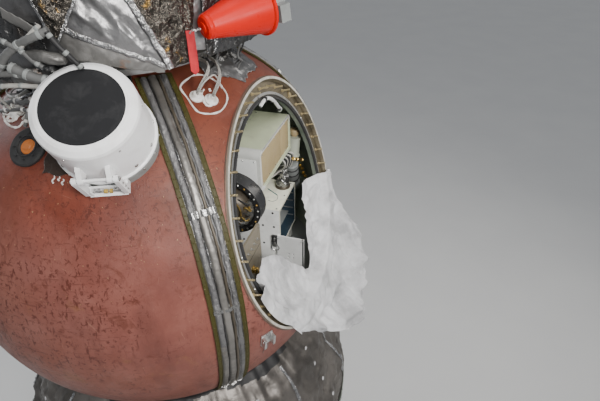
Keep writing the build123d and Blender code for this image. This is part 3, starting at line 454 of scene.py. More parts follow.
X_GOLD = m_foil("foil_gold", (0.155, 0.140, 0.120), 0.24, 34, (0.46, 0.27, 0.06), 0.4, 0.85, 0.009, (0.585, 0.66))
X_BRONZE = worn("bronze_duct", (0.105, 0.088, 0.066), 0.42, 0.5, (0.045, 0.036, 0.028), 0.5, 0.25)
X_BRASS = worn("brass", (0.58, 0.40, 0.13), 0.30, 0.9, (0.26, 0.17, 0.06), 0.4, 0.12)
X_STEEL = worn("screw_steel", (0.56, 0.56, 0.55), 0.28, 0.95, (0.25, 0.24, 0.22), 0.3, 0.1)
X_TAN = worn("tan_panel", (0.39, 0.30, 0.155), 0.46, 0, (0.36, 0.28, 0.20), 0.25, 0.10)
X_WHITE = worn("white_enamel", (0.72, 0.735, 0.72), 0.36, 0, (0.52, 0.52, 0.47), 0.22, 0.08)
X_TEAL = worn("teal_strip", (0.020, 0.155, 0.165), 0.40, 0, (0.01, 0.08, 0.09), 0.3, 0.08)
X_NAVY = worn("navy_inside", (0.020, 0.040, 0.070), 0.45, 0, (0.05, 0.07, 0.09), 0.5, 0.1)
X_WIRE_GREY = worn("wire_grey", (0.125, 0.127, 0.125), 0.55, 0, (0.05, 0.05, 0.05), 0.6, 0.3)
X_WIRE_WHITE = worn("wire_white", (0.42, 0.41, 0.38), 0.52, 0, (0.18, 0.17, 0.15), 0.5, 0.25)
X_FELT = m_cloth("felt_dark", (0.030, 0.018, 0.013), 300, 0.3)
X_ORANGE = worn("orange_plug", (0.52, 0.16, 0.03), 0.5, 0, (0.3, 0.1, 0.03), 0.4, 0.1)
X_YELLOW = worn("yellow_brown", (0.50, 0.34, 0.07), 0.45, 0.1, (0.24, 0.15, 0.04), 0.5, 0.1)
X_SILVERPANEL = worn("white_panel", (0.66, 0.67, 0.665), 0.34, 0, (0.44, 0.43, 0.40), 0.3, 0.08)
X_GREYBAND = m_film("grey_band", (0.250, 0.238, 0.222), 0.44, 0.65, (0.13, 0.11, 0.09))
X_NECK = m_film("neck_film", (0.150, 0.138, 0.126), 0.50, 0.62, (0.050, 0.044, 0.038))
X_PALE = m_film("pale_film", (0.26, 0.255, 0.245), 0.45, 0.55, (0.12, 0.11, 0.10), (0.34, 0.13, 0.035))

for name, o in NODES.items():
    slot = next((s["material_slot"] for s in frame["record"]["subparts"] if s["node"] == name), None)
    if o.type == "MESH" and slot in MATS:
        o.data.materials.clear()
        o.data.materials.append(MATS[slot])


# ------------------------------------------------------------------ mesh makers
def finish_mesh(o, mats, sharp=35.0, body="structure", slot=None, replaces=(), solid=0.0, sub=0, recalc=True):
    me = o.data
    for m in mats:
        me.materials.append(m)
    if recalc:
        bm = bmesh.new()
        bm.from_mesh(me)
        bmesh.ops.recalc_face_normals(bm, faces=bm.faces)
        bm.to_mesh(me)
        bm.free()
    me.polygons.foreach_set("use_smooth", [True] * len(me.polygons))
    if sharp < 179:
        me.set_sharp_from_angle(angle=math.radians(sharp))
    scene.collection.objects.link(o)
    if solid:
        m = o.modifiers.new("thick", "SOLIDIFY")
        m.thickness, m.offset = solid, 0.0
    if sub:
        m = o.modifiers.new("sub", "SUBSURF")
        m.levels = m.render_levels = sub
    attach(o, body)
    if replaces:
        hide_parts(*([replaces] if isinstance(replaces, str) else replaces))
    return o


class Batch:
    """Many small pieces joined in one mesh."""

    def __init__(self):
        self.v, self.f, self.m, self.mats = [], [], [], []

    def add(self, verts, faces, mat):
        if mat not in self.mats:
            self.mats.append(mat)
        i, b = self.mats.index(mat), len(self.v)
        self.v += [tuple(p) for p in verts]
        self.f += [[b + k for k in f] for f in faces]
        self.m += [i] * len(faces)

    def sheet(self, fn, nu, nv, mat, close=False):
        vs = [fn(i / (nu if close else nu - 1), j / (nv - 1)) for i in range(nu) for j in range(nv)]
        fs = []
        for i in range(nu if close else nu - 1):
            for j in range(nv - 1):
                a, b = i * nv + j, ((i + 1) % nu) * nv + j
                fs.append((a, b, b + 1, a + 1))
        self.add(vs, fs, mat)

    def revolve(self, org, axis, prof, mat, seg=24, xdir=None, a0=0.0, a1=360.0):
        """prof: (radius, height) rows along the axis; a radius of 0 closes the end."""
        axis = Vector(axis).normalized()
        x = Vector(xdir).normalized() if xdir is not None else axis.orthogonal().normalized()
        y = axis.cross(x)
        full = abs(a1 - a0) > 359.9
        n = seg if full else seg + 1
        vs, fs, rows = [], [], []
        for r, h in prof:
            if r <= 1e-6:
                rows.append([len(vs)])
                vs.append(Vector(org) + axis * h)
            else:
                rows.append(list(range(len(vs), len(vs) + n)))
                for i in range(n):
                    a = math.radians(a0 + (a1 - a0) * i / seg)
                    vs.append(Vector(org) + axis * h + x * (r * math.cos(a)) + y * (r * math.sin(a)))
        for p, q in zip(rows, rows[1:]):
            for i in range(seg if full else seg):
                j = (i + 1) % n if full else i + 1
                if len(p) == 1 and len(q) == 1:
                    continue
                if len(p) == 1:
                    fs.append((p[0], q[j], q[i]))
                elif len(q) == 1:
                    fs.append((p[i], p[j], q[0]))
                else:
                    fs.append((p[i], p[j], q[j], q[i]))
        self.add(vs, fs, mat)

    def cyl(self, a, b, r, mat, seg=16, r2=None, bev=0.0):
        a, b = Vector(a), Vector(b)
        h = (b - a).length
        r2 = r if r2 is None else r2
        bev = min(bev, r * 0.45, r2 * 0.45, h * 0.45)
        prof = [(0, 0), (r - bev, 0), (r, bev), (r2, h - bev), (r2 - bev, h), (0, h)] if bev else [(0, 0), (r, 0), (r2, h), (0, h)]
        self.revolve(a, b - a, prof, mat, seg)

    def bolt(self, p, n, r, mat, h=None, hexa=True):
        """A bolt head: washer and a six-sided or round head with a rounded top."""
        h = h or r * 1.2
        self.revolve(p, n, [(0, 0), (r * 1.45, 0), (r * 1.45, r * 0.22), (0, r * 0.22)], mat, 14)
        self.revolve(Vector(p) + Vector(n) * r * 0.2, n, [(r, 0), (r, h * 0.8), (r * 0.8, h), (0, h * 1.02)], mat, 6 if hexa else 14)

    def box(self, c, ax, size, mat, bev=0.0):
        """A box with cut-back edges; ax: three directions, size: three full lengths."""
        c = Vector(c)
        ax = [Vector(a).normalized() for a in ax]
        hx, hy, hz = (s / 2 for s in size)
        b = min(bev, hx * 0.9, hy * 0.9, hz * 0.9)
        if b <= 0:
            vs = [c + ax[0] * sx * hx + ax[1] * sy * hy + ax[2] * sz * hz for sx in (-1, 1) for sy in (-1, 1) for sz in (-1, 1)]
            fs = [(0, 1, 3, 2), (4, 6, 7, 5), (0, 4, 5, 1), (2, 3, 7, 6), (0, 2, 6, 4), (1, 5, 7, 3)]
            self.add(vs, fs, mat)
            return
        bm = bmesh.new()
        bmesh.ops.create_cube(bm, size=1.0)
        for v in bm.verts:
            v.co = Vector((v.co.x * 2 * hx, v.co.y * 2 * hy, v.co.z * 2 * hz))
        bmesh.ops.bevel(bm, geom=list(bm.edges), offset=b, segments=2, affect="EDGES", profile=0.6)
        bm.verts.index_update()
        vs = [c + ax[0] * v.co.x + ax[1] * v.co.y + ax[2] * v.co.z for v in bm.verts]
        fs = [[v.index for v in f.verts] for f in bm.faces]
        bm.free()
        self.add(vs, fs, mat)

    def tube(self, pts, r, mat, seg=8, closed=False, rad=None, flat=1.0):
        """A tube through points; rad(t) scales the radius and flat squashes it along its own normal."""
        pts = [Vector(p) for p in pts]
        n = len(pts)
        tans = []
        for i in range(n):
            a = pts[(i - 1) % n] if closed or i else pts[0]
            b = pts[(i + 1) % n] if closed or i < n - 1 else pts[-1]
            tans.append((b - a).normalized())
        nrm = tans[0].orthogonal().normalized()
        rings = []
        for i in range(n):
            nrm = (nrm - tans[i] * nrm.dot(tans[i])).normalized()
            bn = tans[i].cross(nrm)
            rr = r * (rad(i / (n - 1)) if rad else 1.0)
            rings.append([pts[i] + nrm * (rr * flat * math.cos(2 * math.pi * k / seg)) + bn * (rr * math.sin(2 * math.pi * k / seg)) for k in range(seg)])
        vs = [p for ring in rings for p in ring]
        fs = []
        for i in range(n if closed else n - 1):
            a, b = i * seg, ((i + 1) % n) * seg
            for k in range(seg):
                fs.append((a + k, b + k, b + (k + 1) % seg, a + (k + 1) % seg))
        if not closed:
            fs.append(list(range(seg))[::-1])
            fs.append(list(range((n - 1) * seg, n * seg)))
        self.add(vs, fs, mat)

    def ball(self, c, r, mat, seg=12, scale=(1, 1, 1)):
        rows = [(r * math.sin(math.pi * i / (seg // 2 + 2)), -r * math.cos(math.pi * i / (seg // 2 + 2))) for i in range(seg // 2 + 3)]
        rows[0], rows[-1] = (0, -r), (0, r)
        b = len(self.v)
        self.revolve((0, 0, 0), (0, 0, 1), rows, mat, seg)
        for i in range(b, len(self.v)):
            v = self.v[i]
            self.v[i] = (c[0] + v[0] * scale[0], c[1] + v[1] * scale[1], c[2] + v[2] * scale[2])

    def emit(self, name, body="structure", slot=None, sharp=35.0, **kw):
        me = bpy.data.meshes.new(name)
        me.from_pydata(self.v, [], self.f)
        o = bpy.data.objects.new(name, me)
        for m in self.mats:
            me.materials.append(m)
        me.polygons.foreach_set("material_index", self.m)
        me.update()
        return finish_mesh(o, [], sharp, body, slot, **kw)


def spline(pts, per=8, closed=False):
    """Points on a smooth curve through pts."""
    pts = [Vector(p) for p in pts]
    n = len(pts)
    out = []
    for i in range(n if closed else n - 1):
        p0 = pts[(i - 1) % n] if closed or i else pts[0]
        p1, p2 = pts[i], pts[(i + 1) % n]
        p3 = pts[(i + 2) % n] if closed or i < n - 2 else pts[-1]
        for k in range(per):
            t = k / per
            out.append(0.5 * ((2 * p1) + (p2 - p0) * t + (2 * p0 - 5 * p1 + 4 * p2 - p3) * t * t + (3 * p1 - p0 - 3 * p2 + p3) * t ** 3))
    if not closed:
        out.append(pts[-1])
    return out


def skin(name, fn, nu, nv, mats, pick=None, close=False, **kw):
    """One sheet as its own piece: fn(u, v) gives its points; pick(u, v) the material of a face."""
    vs = [fn(i / (nu if close else nu - 1), j / (nv - 1)) for i in range(nu) for j in range(nv)]
    fs, mi = [], []
    for i in range(nu if close else nu - 1):
        for j in range(nv - 1):
            a, b = i * nv + j, ((i + 1) % nu) * nv + j
            fs.append((a, b, b + 1, a + 1))
            mi.append(pick((i + 0.5) / nu, (j + 0.5) / nv) if pick else 0)
    me = bpy.data.meshes.new(name)
    me.from_pydata([tuple(v) for v in vs], [], fs)
    o = bpy.data.objects.new(name, me)
    mats = mats if isinstance(mats, (list, tuple)) else [mats]
    for m in mats:
        me.materials.append(m)
    me.polygons.foreach_set("material_index", mi)
    me.update()
    return finish_mesh(o, [], kw.pop("sharp", 60.0), **kw)


# ------------------------------------------------------------------ cables from the capsule to the straps' top ring
CABLES = {
    "feed_cable_1": (0.018, [(-.324, -.539, .9885), (-.331, -.551, 1.010), (-.300, -.568, 1.045), (-.250, -.570, 1.072),
                             (-.200, -.548, 1.088), (-.156, -.497, 1.092), (-.1408, -.4502, 1.088)]),
    "feed_cable_2": (0.018, [(-.2905, -.5962, .9671), (-.298, -.6114, .9919), (-.270, -.622, 1.024), (-.222, -.612, 1.050),
                             (-.170, -.582, 1.070), (-.112, -.528, 1.086), (-.0821, -.4656, 1.088)]),
    "feed_cable_3": (0.018, [(-.642, .1916, .961), (-.664, .202, .998), (-.640, .252, 1.050), (-.570, .318, 1.084),
                             (-.470, .342, 1.092), (-.3767, .2839, 1.088)]),
    "feed_cable_4": (0.018, [(-.533, .157, 1.0314), (-.548, .172, 1.068), (-.530, .240, 1.100), (-.478, .270, 1.098),
                             (-.4085, .2358, 1.090)]),
}


def route_line(pts, name):
    """Points of the smooth line that a route's control points give."""
    cu = bpy.data.curves.new(name + "_line", "CURVE")
    cu.dimensions = "3D"
    sp = cu.splines.new("NURBS")
    sp.points.add(len(pts) - 1)
    for p, q in zip(sp.points, pts):
        p.co = (*q, 1)
    sp.order_u = 3
    sp.use_endpoint_u = True
    sp.resolution_u = 10
    o = bpy.data.objects.new(name + "_line", cu)
    scene.collection.objects.link(o)
    bpy.context.view_layer.update()
    me = bpy.data.meshes.new_from_object(o)
    line = [v.co.copy() for v in me.vertices]
    bpy.data.objects.remove(o)
    bpy.data.meshes.remove(me)
    return line


for name, (dia, pts) in CABLES.items():
    pts = [tuple(rel(*p)) for p in pts]
    line = route_line(pts, name)
    b = Batch()
    # two woven sleeves lying side by side, turning slowly about each other
    tans = [(line[min(i + 1, len(line) - 1)] - line[max(i - 1, 0)]).normalized() for i in range(len(line))]
    side = tans[0].orthogonal().normalized()
    left, right = [], []
    for i, p in enumerate(line):
        side = (side - tans[i] * side.dot(tans[i])).normalized()
        turn = 2.6 * i / (len(line) - 1)
        d = side * math.cos(turn) + tans[i].cross(side) * math.sin(turn)
        left.append(p + d * dia * 0.235)
        right.append(p - d * dia * 0.235)
    ph = rng.random() * 6
    b.tube(left, dia * 0.265, MATS["cable_jacket"], 12, rad=lambda t: 1.0 + 0.05 * math.sin(60 * t + ph))
    b.tube(right, dia * 0.265, MATS["cable_jacket"], 12, rad=lambda t: 1.0 + 0.05 * math.sin(54 * t + ph))
    o = b.emit(name + "_sleeves", slot="cable_jacket", sharp=60, replaces=name)

# ------------------------------------------------------------------ tension straps: cable runs, duct and tape
STRAPS = (-135.0, -45.0, 45.0, 135.0)
ARC = math.pi / 180 * (R + 0.009)            # metres along a strap for one degree


def on_strap(az, s, el, h):
    """A point on a strap: s across it, h above its face."""
    a, e = math.radians(az), math.radians(el)
    d = Vector((math.cos(e) * math.cos(a), math.cos(e) * math.sin(a), math.sin(e)))
    return C + d * (R + 0.0092 + h) + Vector((-math.sin(a), math.cos(a), 0)) * s


def loft(b, rings, mat):
    """Closed rings of equal count joined into one closed body."""
    n = len(rings[0])
    vs = [p for r in rings for p in r]
    fs = []
    for i in range(len(rings) - 1):
        for k in range(n):
            fs.append((i * n + k, (i + 1) * n + k, (i + 1) * n + (k + 1) % n, i * n + (k + 1) % n))
    fs.append(list(range(n))[::-1])
    fs.append([(len(rings) - 1) * n + k for k in range(n)])
    b.add(vs, fs, mat)


def run(b, az, s0, s1, h, mat, el0, el1, step, crk, seed, power=0.55, wob=0.0, nv=9):
    """A raised run along a strap, rounded across, crumpled by crk."""
    n = max(8, int((el1 - el0) / step))
    rings = []
    for i in range(n + 1):
        el = lerp(el0, el1, i / n)
        w = wob * math.sin(el * 0.31 + seed) + wob * 0.6 * math.sin(el * 0.83 + seed * 2)
        ring = []
        for k in range(nv):
            t = -1 + 2 * k / (nv - 1)
            p = on_strap(az, lerp(s0, s1, (t + 1) / 2) + w, el, 0)
            hh = h * max(0.0, 1 - abs(t) ** 2.6) ** power
            hh += crk * crumple(p, 34, seed) * (1 - t * t) + crk * 0.6 * nz(p, 120, seed) * (1 - t * t)
            ring.append(on_strap(az, lerp(s0, s1, (t + 1) / 2) + w + 0.0015 * nz(p, 60, seed + 3), el, max(0.0, hh)))
        rings.append(ring)
    loft(b, rings, mat)


for az in STRAPS:
    fine = 0.42 if az == -135.0 else 0.85
    tag = {-135.0: "front_left", -45.0: "front_right", 45.0: "rear_right", 135.0: "rear_left"}[az]
    lo, hi = -46.2, 65.3
    b = Batch()
    run(b, az, -0.063, 0.060, 0.0022, X_FOIL_DARK, lo, hi, 1.2, 0.0, az, 0.2)
    run(b, az, -0.0620, -0.0310, 0.0140, X_STRAPFOIL, -4, hi, fine, 0.0034, az + 1, 0.5, 0.0012)
    run(b, az, -0.0622, -0.0308, 0.0138, X_GREYBAND, lo, -2, fine, 0.0016, az + 1, 0.45, 0.0016)
    run(b, az, 0.029, 0.056, 0.0135, X_STRAPFOIL, lo, hi, fine, 0.0036, az + 2, 0.5, 0.0012)
    run(b, az, 0.0110, 0.0255, 0.0120, X_BRONZE, lo, hi, 1.0, 0.0010, az + 3, 0.30, 0.0010)
    run(b, az, -0.0270, 0.0095, 0.0150, X_GREYBAND, lo, hi, fine, 0.0014, az + 4, 0.36, 0.0016)
    # thin sleeve that winds along the gap
    line = [on_strap(az, 0.0275 + 0.0022 * math.sin(el * 1.3 + az), el, 0.007 + 0.001 * math.sin(el * 2.1)) for el in np.linspace(lo, hi, 150)]
    b.tube(line, 0.0036, X_STRAPFOIL, 7, rad=lambda t: 1 + 0.22 * math.sin(t * 420))
    line = [on_strap(az, -0.0290 + 0.0020 * math.sin(el * 0.31 + az + 1), el, 0.0045) for el in np.linspace(lo, hi, 150)]
    b.tube(line, 0.0020, X_BLACK, 6)
    b.emit("strap_runs_" + tag, slot="foil_wrap", sharp=50)
    # tape wrapped over the runs
    b = Batch()
    wraps = [(32, 1.5), (9, 0.9), (-27, 0.9)] if az == -135.0 else [(44, 1.2), (12, 1.0), (-22, 1.0)]
    for el, wd in wraps:
        rings = []
        for i in range(9):
            e = el + wd * (i / 8 - 0.5)
            ring = []
            for k in range(25):
                s = lerp(-0.066, 0.060, k / 24)
                base = 0.0035
                for c, hw, h in ((-0.048, 0.013, 0.0185), (-0.027, 0.008, 0.011), (0.003, 0.020, 0.0190), (0.0275, 0.005, 0.012), (0.044, 0.012, 0.0160)):
                    t = abs(s - c) / hw
                    if t < 1.25:
                        base = max(base, h * max(0.0, 1 - (t / 1.25) ** 3))
                p = on_strap(az, s, e, 0)
                ring.append(on_strap(az, s, e + 0.10 * nz(p, 50, el), base + 0.0016 + 0.0022 * abs(crumple(p, 44, el))))
            ring += [on_strap(az, s, e, 0.0005) for s in (0.055, 0.0, -0.06)]
            rings.append(ring)
        loft(b, rings, MATS["foil_wrap"])
    b.emit("strap_tape_" + tag, slot="foil_wrap", sharp=60)
    # edge hems: a raised rim each side, with flush rivets, and a thin painted bead beside it
    b = Batch()
    for sd in (-1, 1):
        run(b, az, sd * 0.0815 - 0.0022, sd * 0.0815 + 0.0022, 0.0020, MATS["olive_strap"], lo - 0.5, hi + 0.5, 1.5, 0.0003, az + sd, 0.4, 0.0, 5)
        run(b, az, sd * 0.0665 - 0.0015, sd * 0.0665 + 0.0015, 0.0014, MATS["olive_strap"], lo - 0.5, hi + 0.5, 1.5, 0.0002, az + sd, 0.4, 0.0, 5)
        for i in range(56):
            el = lo + (hi - lo) * (i + 0.5) / 56
            p, q = on_strap(az, sd * 0.074, el, 0.0), on_strap(az, sd * 0.074, el, 1.0)
            b.revolve(p, q - p, [(0.0042, 0), (0.0038, 0.0013), (0.002, 0.0021), (0, 0.0023)], MATS["olive_strap"], 8)
    b.emit("strap_hems_" + tag, slot="olive_strap", sharp=50)
hide = NODES["strap_cable_runs"]
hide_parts("strap_cable_runs")

# ------------------------------------------------------------------ sealant lines and blobs round the cable ports
def bead(b, pts, az, el, w, h, mat, closed=True, seed=0.0, per=9):
    """An uneven bead of sealant on the ball through (dx, dy) points."""
    line = spline([Vector((x, y, 0)) for x, y in pts], per, closed)
    out = []
    for i, p in enumerate(line):
        out.append(on_ball(az, el, p.x + 0.0012 * nz((p.x, p.y, 0), 70, seed), p.y + 0.0012 * nz((p.y, p.x, 0), 70, seed + 2), 0.0006))
    n, ex, ey = axes(az, el)
    b.tube(out, w / 2, mat, 8, closed, rad=lambda t: 0.85 + 0.28 * math.sin(t * 61 + seed) * math.sin(t * 23), flat=1.0)


b = Batch()
RING1 = [(.022, .095), (-.018, .093), (-.094, .062), (-.105, -.005), (-.111, -.058), (-.105, -.094), (-.064, -.122), (-.011, -.13),
         (.044, -.106), (.081, -.069), (.093, -.027), (.092, .003), (.079, .046), (.057, .079)]
bead(b, RING1, -115.1, 58.6, 0.0105, 0.004, X_SEAL, True, 1.0)
bead(b, [(-.082, 0), (-.073, -.021), (-.057, -.047), (-.062, -.013)], -115.1, 58.6, 0.013, 0.005, X_SEAL, True, 2.0)
bead(b, [(-.036, -.031), (-.049, -.057), (-.046, -.082), (-.012, -.084), (.011, -.063)], -115.1, 58.6, 0.014, 0.006, X_SEAL, False, 3.0)
bead(b, [(.018, -.018), (.022, -.004)], -115.1, 58.6, 0.012, 0.005, X_SEAL, False, 4.0)
bead(b, [(-.016, -.004), (-.004, .004)], -115.1, 58.6, 0.010, 0.005, X_SEAL, False, 5.0)
RING2 = [(-.075, -.023), (-.047, -.049), (.001, -.063), (.04, -.064), (.067, -.054), (.076, -.026), (.086, -.007), (.054, .02), (-.003, .032), (-.05, .018)]
bead(b, RING2, 163.37, 55.1, 0.012, 0.004, X_SEAL, True, 6.0)
bead(b, [(-.107, .177), (-.138, .159), (-.128, .129), (-.077, .095), (-.029, .076), (0, .072)], 163.37, 55.1, 0.011, 0.004, X_SEAL, False, 7.0)
bead(b, [(-.03, -.02), (-.035, -.04), (-.005, -.045), (.02, -.03), (.015, -.008)], 163.37, 55.1, 0.016, 0.006, X_SEAL, False, 8.0)
# drips beside the container's skirt
for az, e0, e1 in ((-172.0, 43.2, 41.6), (-170.4, 43.0, 42.2), (-169.2, 42.6, 41.4)):
    b.tube([on_ball(az + 0.3 * math.sin(k), lerp(e0, e1, k / 7), 0, 0, 0.0008) for k in range(8)], 0.0032, X_SEAL, 7, rad=lambda t: 0.7 + 0.5 * t)
# the same kind of ports on the far side
for az, el in ((64.0, 57.0), (-16.0, 56.0)):
    bead(b, [(x * 0.8, y * 0.8) for x, y in RING1], az, el, 0.010, 0.004, X_SEAL, True, az)
b.emit("sealant_beads", slot="white_paint", sharp=60)

# grey plug inside the first ring, felt patch, more fittings on the skin
b = Batch()
n, ex, ey = axes(-115.1, 58.6)
p = on_ball(-115.1, 58.6, -.014, -.066, 0)
b.revolve(p, (p - C), [(0, 0), (0.017, 0), (0.017, 0.006), (0.013, 0.009), (0.0125, 0.006), (0, 0.006)], MATS["grey_paint"], 24)
for az, el in ((64.0, 57.0), (-16.0, 56.0)):
    for dx, dy, r in ((-.03, .01, .022), (.03, -.03, .016)):
        p = on_ball(az, el, dx, dy, 0)
        b.revolve(p, p - C, [(0, 0), (r, 0), (r, 0.012), (r * 0.8, 0.016), (r * 0.75, 0.010), (0, 0.010)], MATS["grey_paint"], 24)
        for k in range(6):
            q = on_ball(az, el, dx + r * 0.88 * math.cos(k * 1.047), dy + r * 0.88 * math.sin(k * 1.047), 0.0145)
            b.bolt(q, (p - C).normalized(), 0.0016, X_STEEL, 0.0016)
b.emit("port_plugs", slot="grey_paint", sharp=35)

b = Batch()
b.sheet(lambda u, v: on_ball(lerp(-175.6, -167.8, u) + 0.35 * math.sin(v * 9), lerp(43.4, 49.0, v) + 0.3 * math.sin(u * 8), 0, 0,
                             0.0030 + 0.0022 * nz((u * 7, v * 7, 0), 1.0, 3)), 26, 20, X_FELT)
b.emit("felt_patch", slot="dark_paint", sharp=60, solid=0.003)

# plug and small parts on the signal port
b = Batch()
n, ex, ey = axes(177.0, 48.5)
org = C + n * 1.156
b.revolve(org, n, [(0.034, 0), (0.031, 0.004), (0.020, 0.005), (0.016, 0.009), (0, 0.010)], X_ORANGE, 26)
for k in range(8):
    a = k * math.pi / 4 + 0.2
    b.bolt(C + n * 1.164 + ex * 0.060 * math.cos(a) + ey * 0.060 * math.sin(a), n, 0.0045, X_BLACK, 0.005)
b.tube([C + n * 1.1655 + ex * 0.0465 * math.cos(t) + ey * 0.0465 * math.sin(t) for t in np.linspace(0, 2 * math.pi, 41)[:-1]], 0.0028, X_BLACK, 8, True)
b.emit("signal_port_detail", slot="dark_paint", sharp=35)

# bracket on the skin: screws and a thin wire
b = Batch()
n, ex, ey = axes(-125.5, -8.5)
for dx, dy in ((0, -0.035), (0, 0.035), (0.012, 0), (-0.012, 0)):
    b.bolt(C + n * (R + 0.006) + ex * dx + ey * dy, n, 0.0045, X_STEEL, 0.004)
for sx in (-1, 1):
    b.box(C + n * (R + 0.0365) + ex * 0.027 * sx, (ex, ey, n), (0.0135, 0.071, 0.002), X_STEEL, 0.0006)
    b.cyl(C + n * (R + 0.024) + ex * (0.0335 * sx) + ey * 0.018, C + n * (R + 0.024) + ex * (0.0375 * sx) + ey * 0.018, 0.006, X_STEEL, 12, bev=0.001)
b.tube(spline([C + n * (R + 0.012) + ex * 0.01 - ey * 0.045, C + n * (R + 0.010) + ex * 0.002 - ey * 0.085, on_ball(-125.5, -8.5, -0.012, -0.12, 0.004), on_ball(-125.5, -8.5, -0.004, -0.16, 0.002)], 8), 0.0016, X_WIRE_GREY, 6)
b.emit("skin_bracket_detail", slot="bare_alloy", sharp=35)

# ------------------------------------------------------------------ hatch frame details
def at_hatch(x, y, h):
    return C + Vector((1, 0, 0)) * x + HATCH_U * y + HATCH_N * h


b = Batch()
for k in range(40):
    a = 2 * math.pi * k / 40
    p = at_hatch(0.668 * math.cos(a), 0.668 * math.sin(a), 0.8762)
    b.revolve(p, HATCH_N, [(0.0052, 0), (0.0105, 0), (0.0105, 0.002), (0.0085, 0.0032), (0.0085, 0.0095), (0.0052, 0.0100)], MATS["steel_studs"], 6)
    # thread rings on the stud
    for j in range(7):
        z = 0.016 + 0.0047 * j
        b.revolve(p + HATCH_N * z, HATCH_N, [(0.0049, 0), (0.0058, 0.0009), (0.0049, 0.0018)], MATS["steel_studs"], 8)
b.emit("stud_nuts", slot="steel_studs", sharp=35)

b = Batch()
seg = 160
ring = [at_hatch(0.7235 * math.cos(2 * math.pi * k / seg), 0.7235 * math.sin(2 * math.pi * k / seg), math.sqrt(R * R - 0.7235 ** 2) + 0.0004 + 0.0010 * nz((k * .3, 0, 0), 1, 4)) for k in range(seg)]
b.tube(ring, 0.0026, X_BRONZE, 7, True, rad=lambda t: 0.8 + 0.3 * math.sin(t * 90) * math.sin(t * 37))
b.emit("frame_sealant", slot="white_paint", sharp=60)

b = Batch()
# guide ring and small lugs inside the flange, and shallow rim groove
prof = [(0.6165, 0.8765), (0.6225, 0.8765), (0.6225, 0.8800), (0.6165, 0.8800), (0.6165, 0.8765)]
b.revolve(C, HATCH_N, prof, X_BLACK, 160)
prof = [(0.6255, 0.8762), (0.6400, 0.8762), (0.6400, 0.8776), (0.6255, 0.8776), (0.6255, 0.8762)]
b.revolve(C, HATCH_N, prof, MATS["bare_alloy"], 160)
for k in range(20):
    a = 2 * math.pi * (k + 0.5) / 20
    rad, tan = Vector((math.cos(a), 0, 0)) + HATCH_U * math.sin(a), Vector((-math.sin(a), 0, 0)) + HATCH_U * math.cos(a)
    b.bolt(C + rad * 0.6325 + HATCH_N * 0.8776, HATCH_N, 0.0034, X_STEEL, 0.003)
for k in range(4):
    a = math.radians(45 + 90 * k)
    rad, tan = Vector((math.cos(a), 0, 0)) + HATCH_U * math.sin(a), Vector((-math.sin(a), 0, 0)) + HATCH_U * math.cos(a)
    b.box(C + rad * 0.684 + HATCH_N * 0.881, (rad, tan, HATCH_N), (0.020, 0.034, 0.010), MATS["steel_studs"], 0.002)
b.emit("hatch_frame_trim", slot="bare_alloy", sharp=35)

# ------------------------------------------------------------------ exposure container details
DN, DX, DY = axes(-156.4, 50.8)


def at_drum(x, y, h):
    return C + DX * x + DY * y + DN * h


b = Batch()
for k in range(12):                                   # round-headed screws above the lid's lower flange
    a = 2 * math.pi * (k + 0.35) / 12
    n = DX * math.cos(a) + DY * math.sin(a)
    p = C + n * 0.1980 + DN * 1.2230
    b.revolve(p, n, [(0.0088, 0), (0.0088, 0.0012), (0.0070, 0.0016), (0.0066, 0.0032), (0.0042, 0.0046), (0, 0.0050)], X_STEEL, 16)
for k in range(6):                                    # lower row, fewer
    a = 2 * math.pi * (k + 0.1) / 6
    n = DX * math.cos(a) + DY * math.sin(a)
    b.revolve(C + n * 0.1945 + DN * 1.3900, n, [(0.0052, 0), (0.0050, 0.0012), (0.003, 0.0020), (0, 0.0022)], X_STEEL, 12)
b.revolve(C, DN, [(0.2056, 1.1905), (0.2080, 1.1912), (0.2080, 1.1948), (0.2056, 1.1955), (0.2056, 1.1905)], MATS["white_paint"], 96)   # rolled bead on the flange
b.emit("lid_screws", body="container_lid", slot="bare_alloy", sharp=35)

b = Batch()
b.revolve(C, DN, [(0.1512, 1.4421), (0.1530, 1.4421), (0.1530, 1.4436), (0.1512, 1.4442), (0.1512, 1.4421)], MATS["white_paint"], 96)
b.emit("lid_disc_rim", body="container_lid", slot="white_paint", sharp=40)

b = Batch()
b.revolve(C, DN, [(0.1900, 1.1885), (0.1900, 1.1892), (0.1600, 1.1892), (0.1600, 1.1885), (0.1900, 1.1885)], X_BLACK, 96)                # seal on the base's rim
for k in range(16):
    a = 2 * math.pi * k / 16
    n = DX * math.cos(a) + DY * math.sin(a)
    if n.dot(-DY) > 0.90:
        continue
    b.bolt(C + n * 0.2058 + DN * 1.168, n, 0.0042, X_STEEL, 0.0035)
# carriers on the base tray: rows of round wells
for i in range(-4, 5):
    for j in range(-4, 5):
        x, y = i * 0.025, j * 0.025
        if math.hypot(x, y) < 0.108:
            b.revolve(at_drum(x, y, 1.2240), DN, [(0.0100, 0), (0.0100, 0.0035), (0.0080, 0.0035), (0.0078, 0.0008), (0, 0.0008)], MATS["bare_alloy"] if (i + j) % 2 else X_BRASS, 14)
b.emit("drum_base_trim", slot="bare_alloy", sharp=35)

b = Batch()
for i in range(-4, 5):
    for j in range(-4, 5):
        x, y = i * 0.028, j * 0.028
        if math.hypot(x, y) < 0.128:
            b.revolve(at_drum(x, y, 1.3900), -DN, [(0.0110, 0), (0.0110, 0.0040), (0.0090, 0.0040), (0.0088, 0.0008), (0, 0.0008)], MATS["bare_alloy"] if (i * j) % 2 else X_BRASS, 14)
b.emit("lid_tray_wells", body="container_lid", slot="bare_alloy", sharp=35)

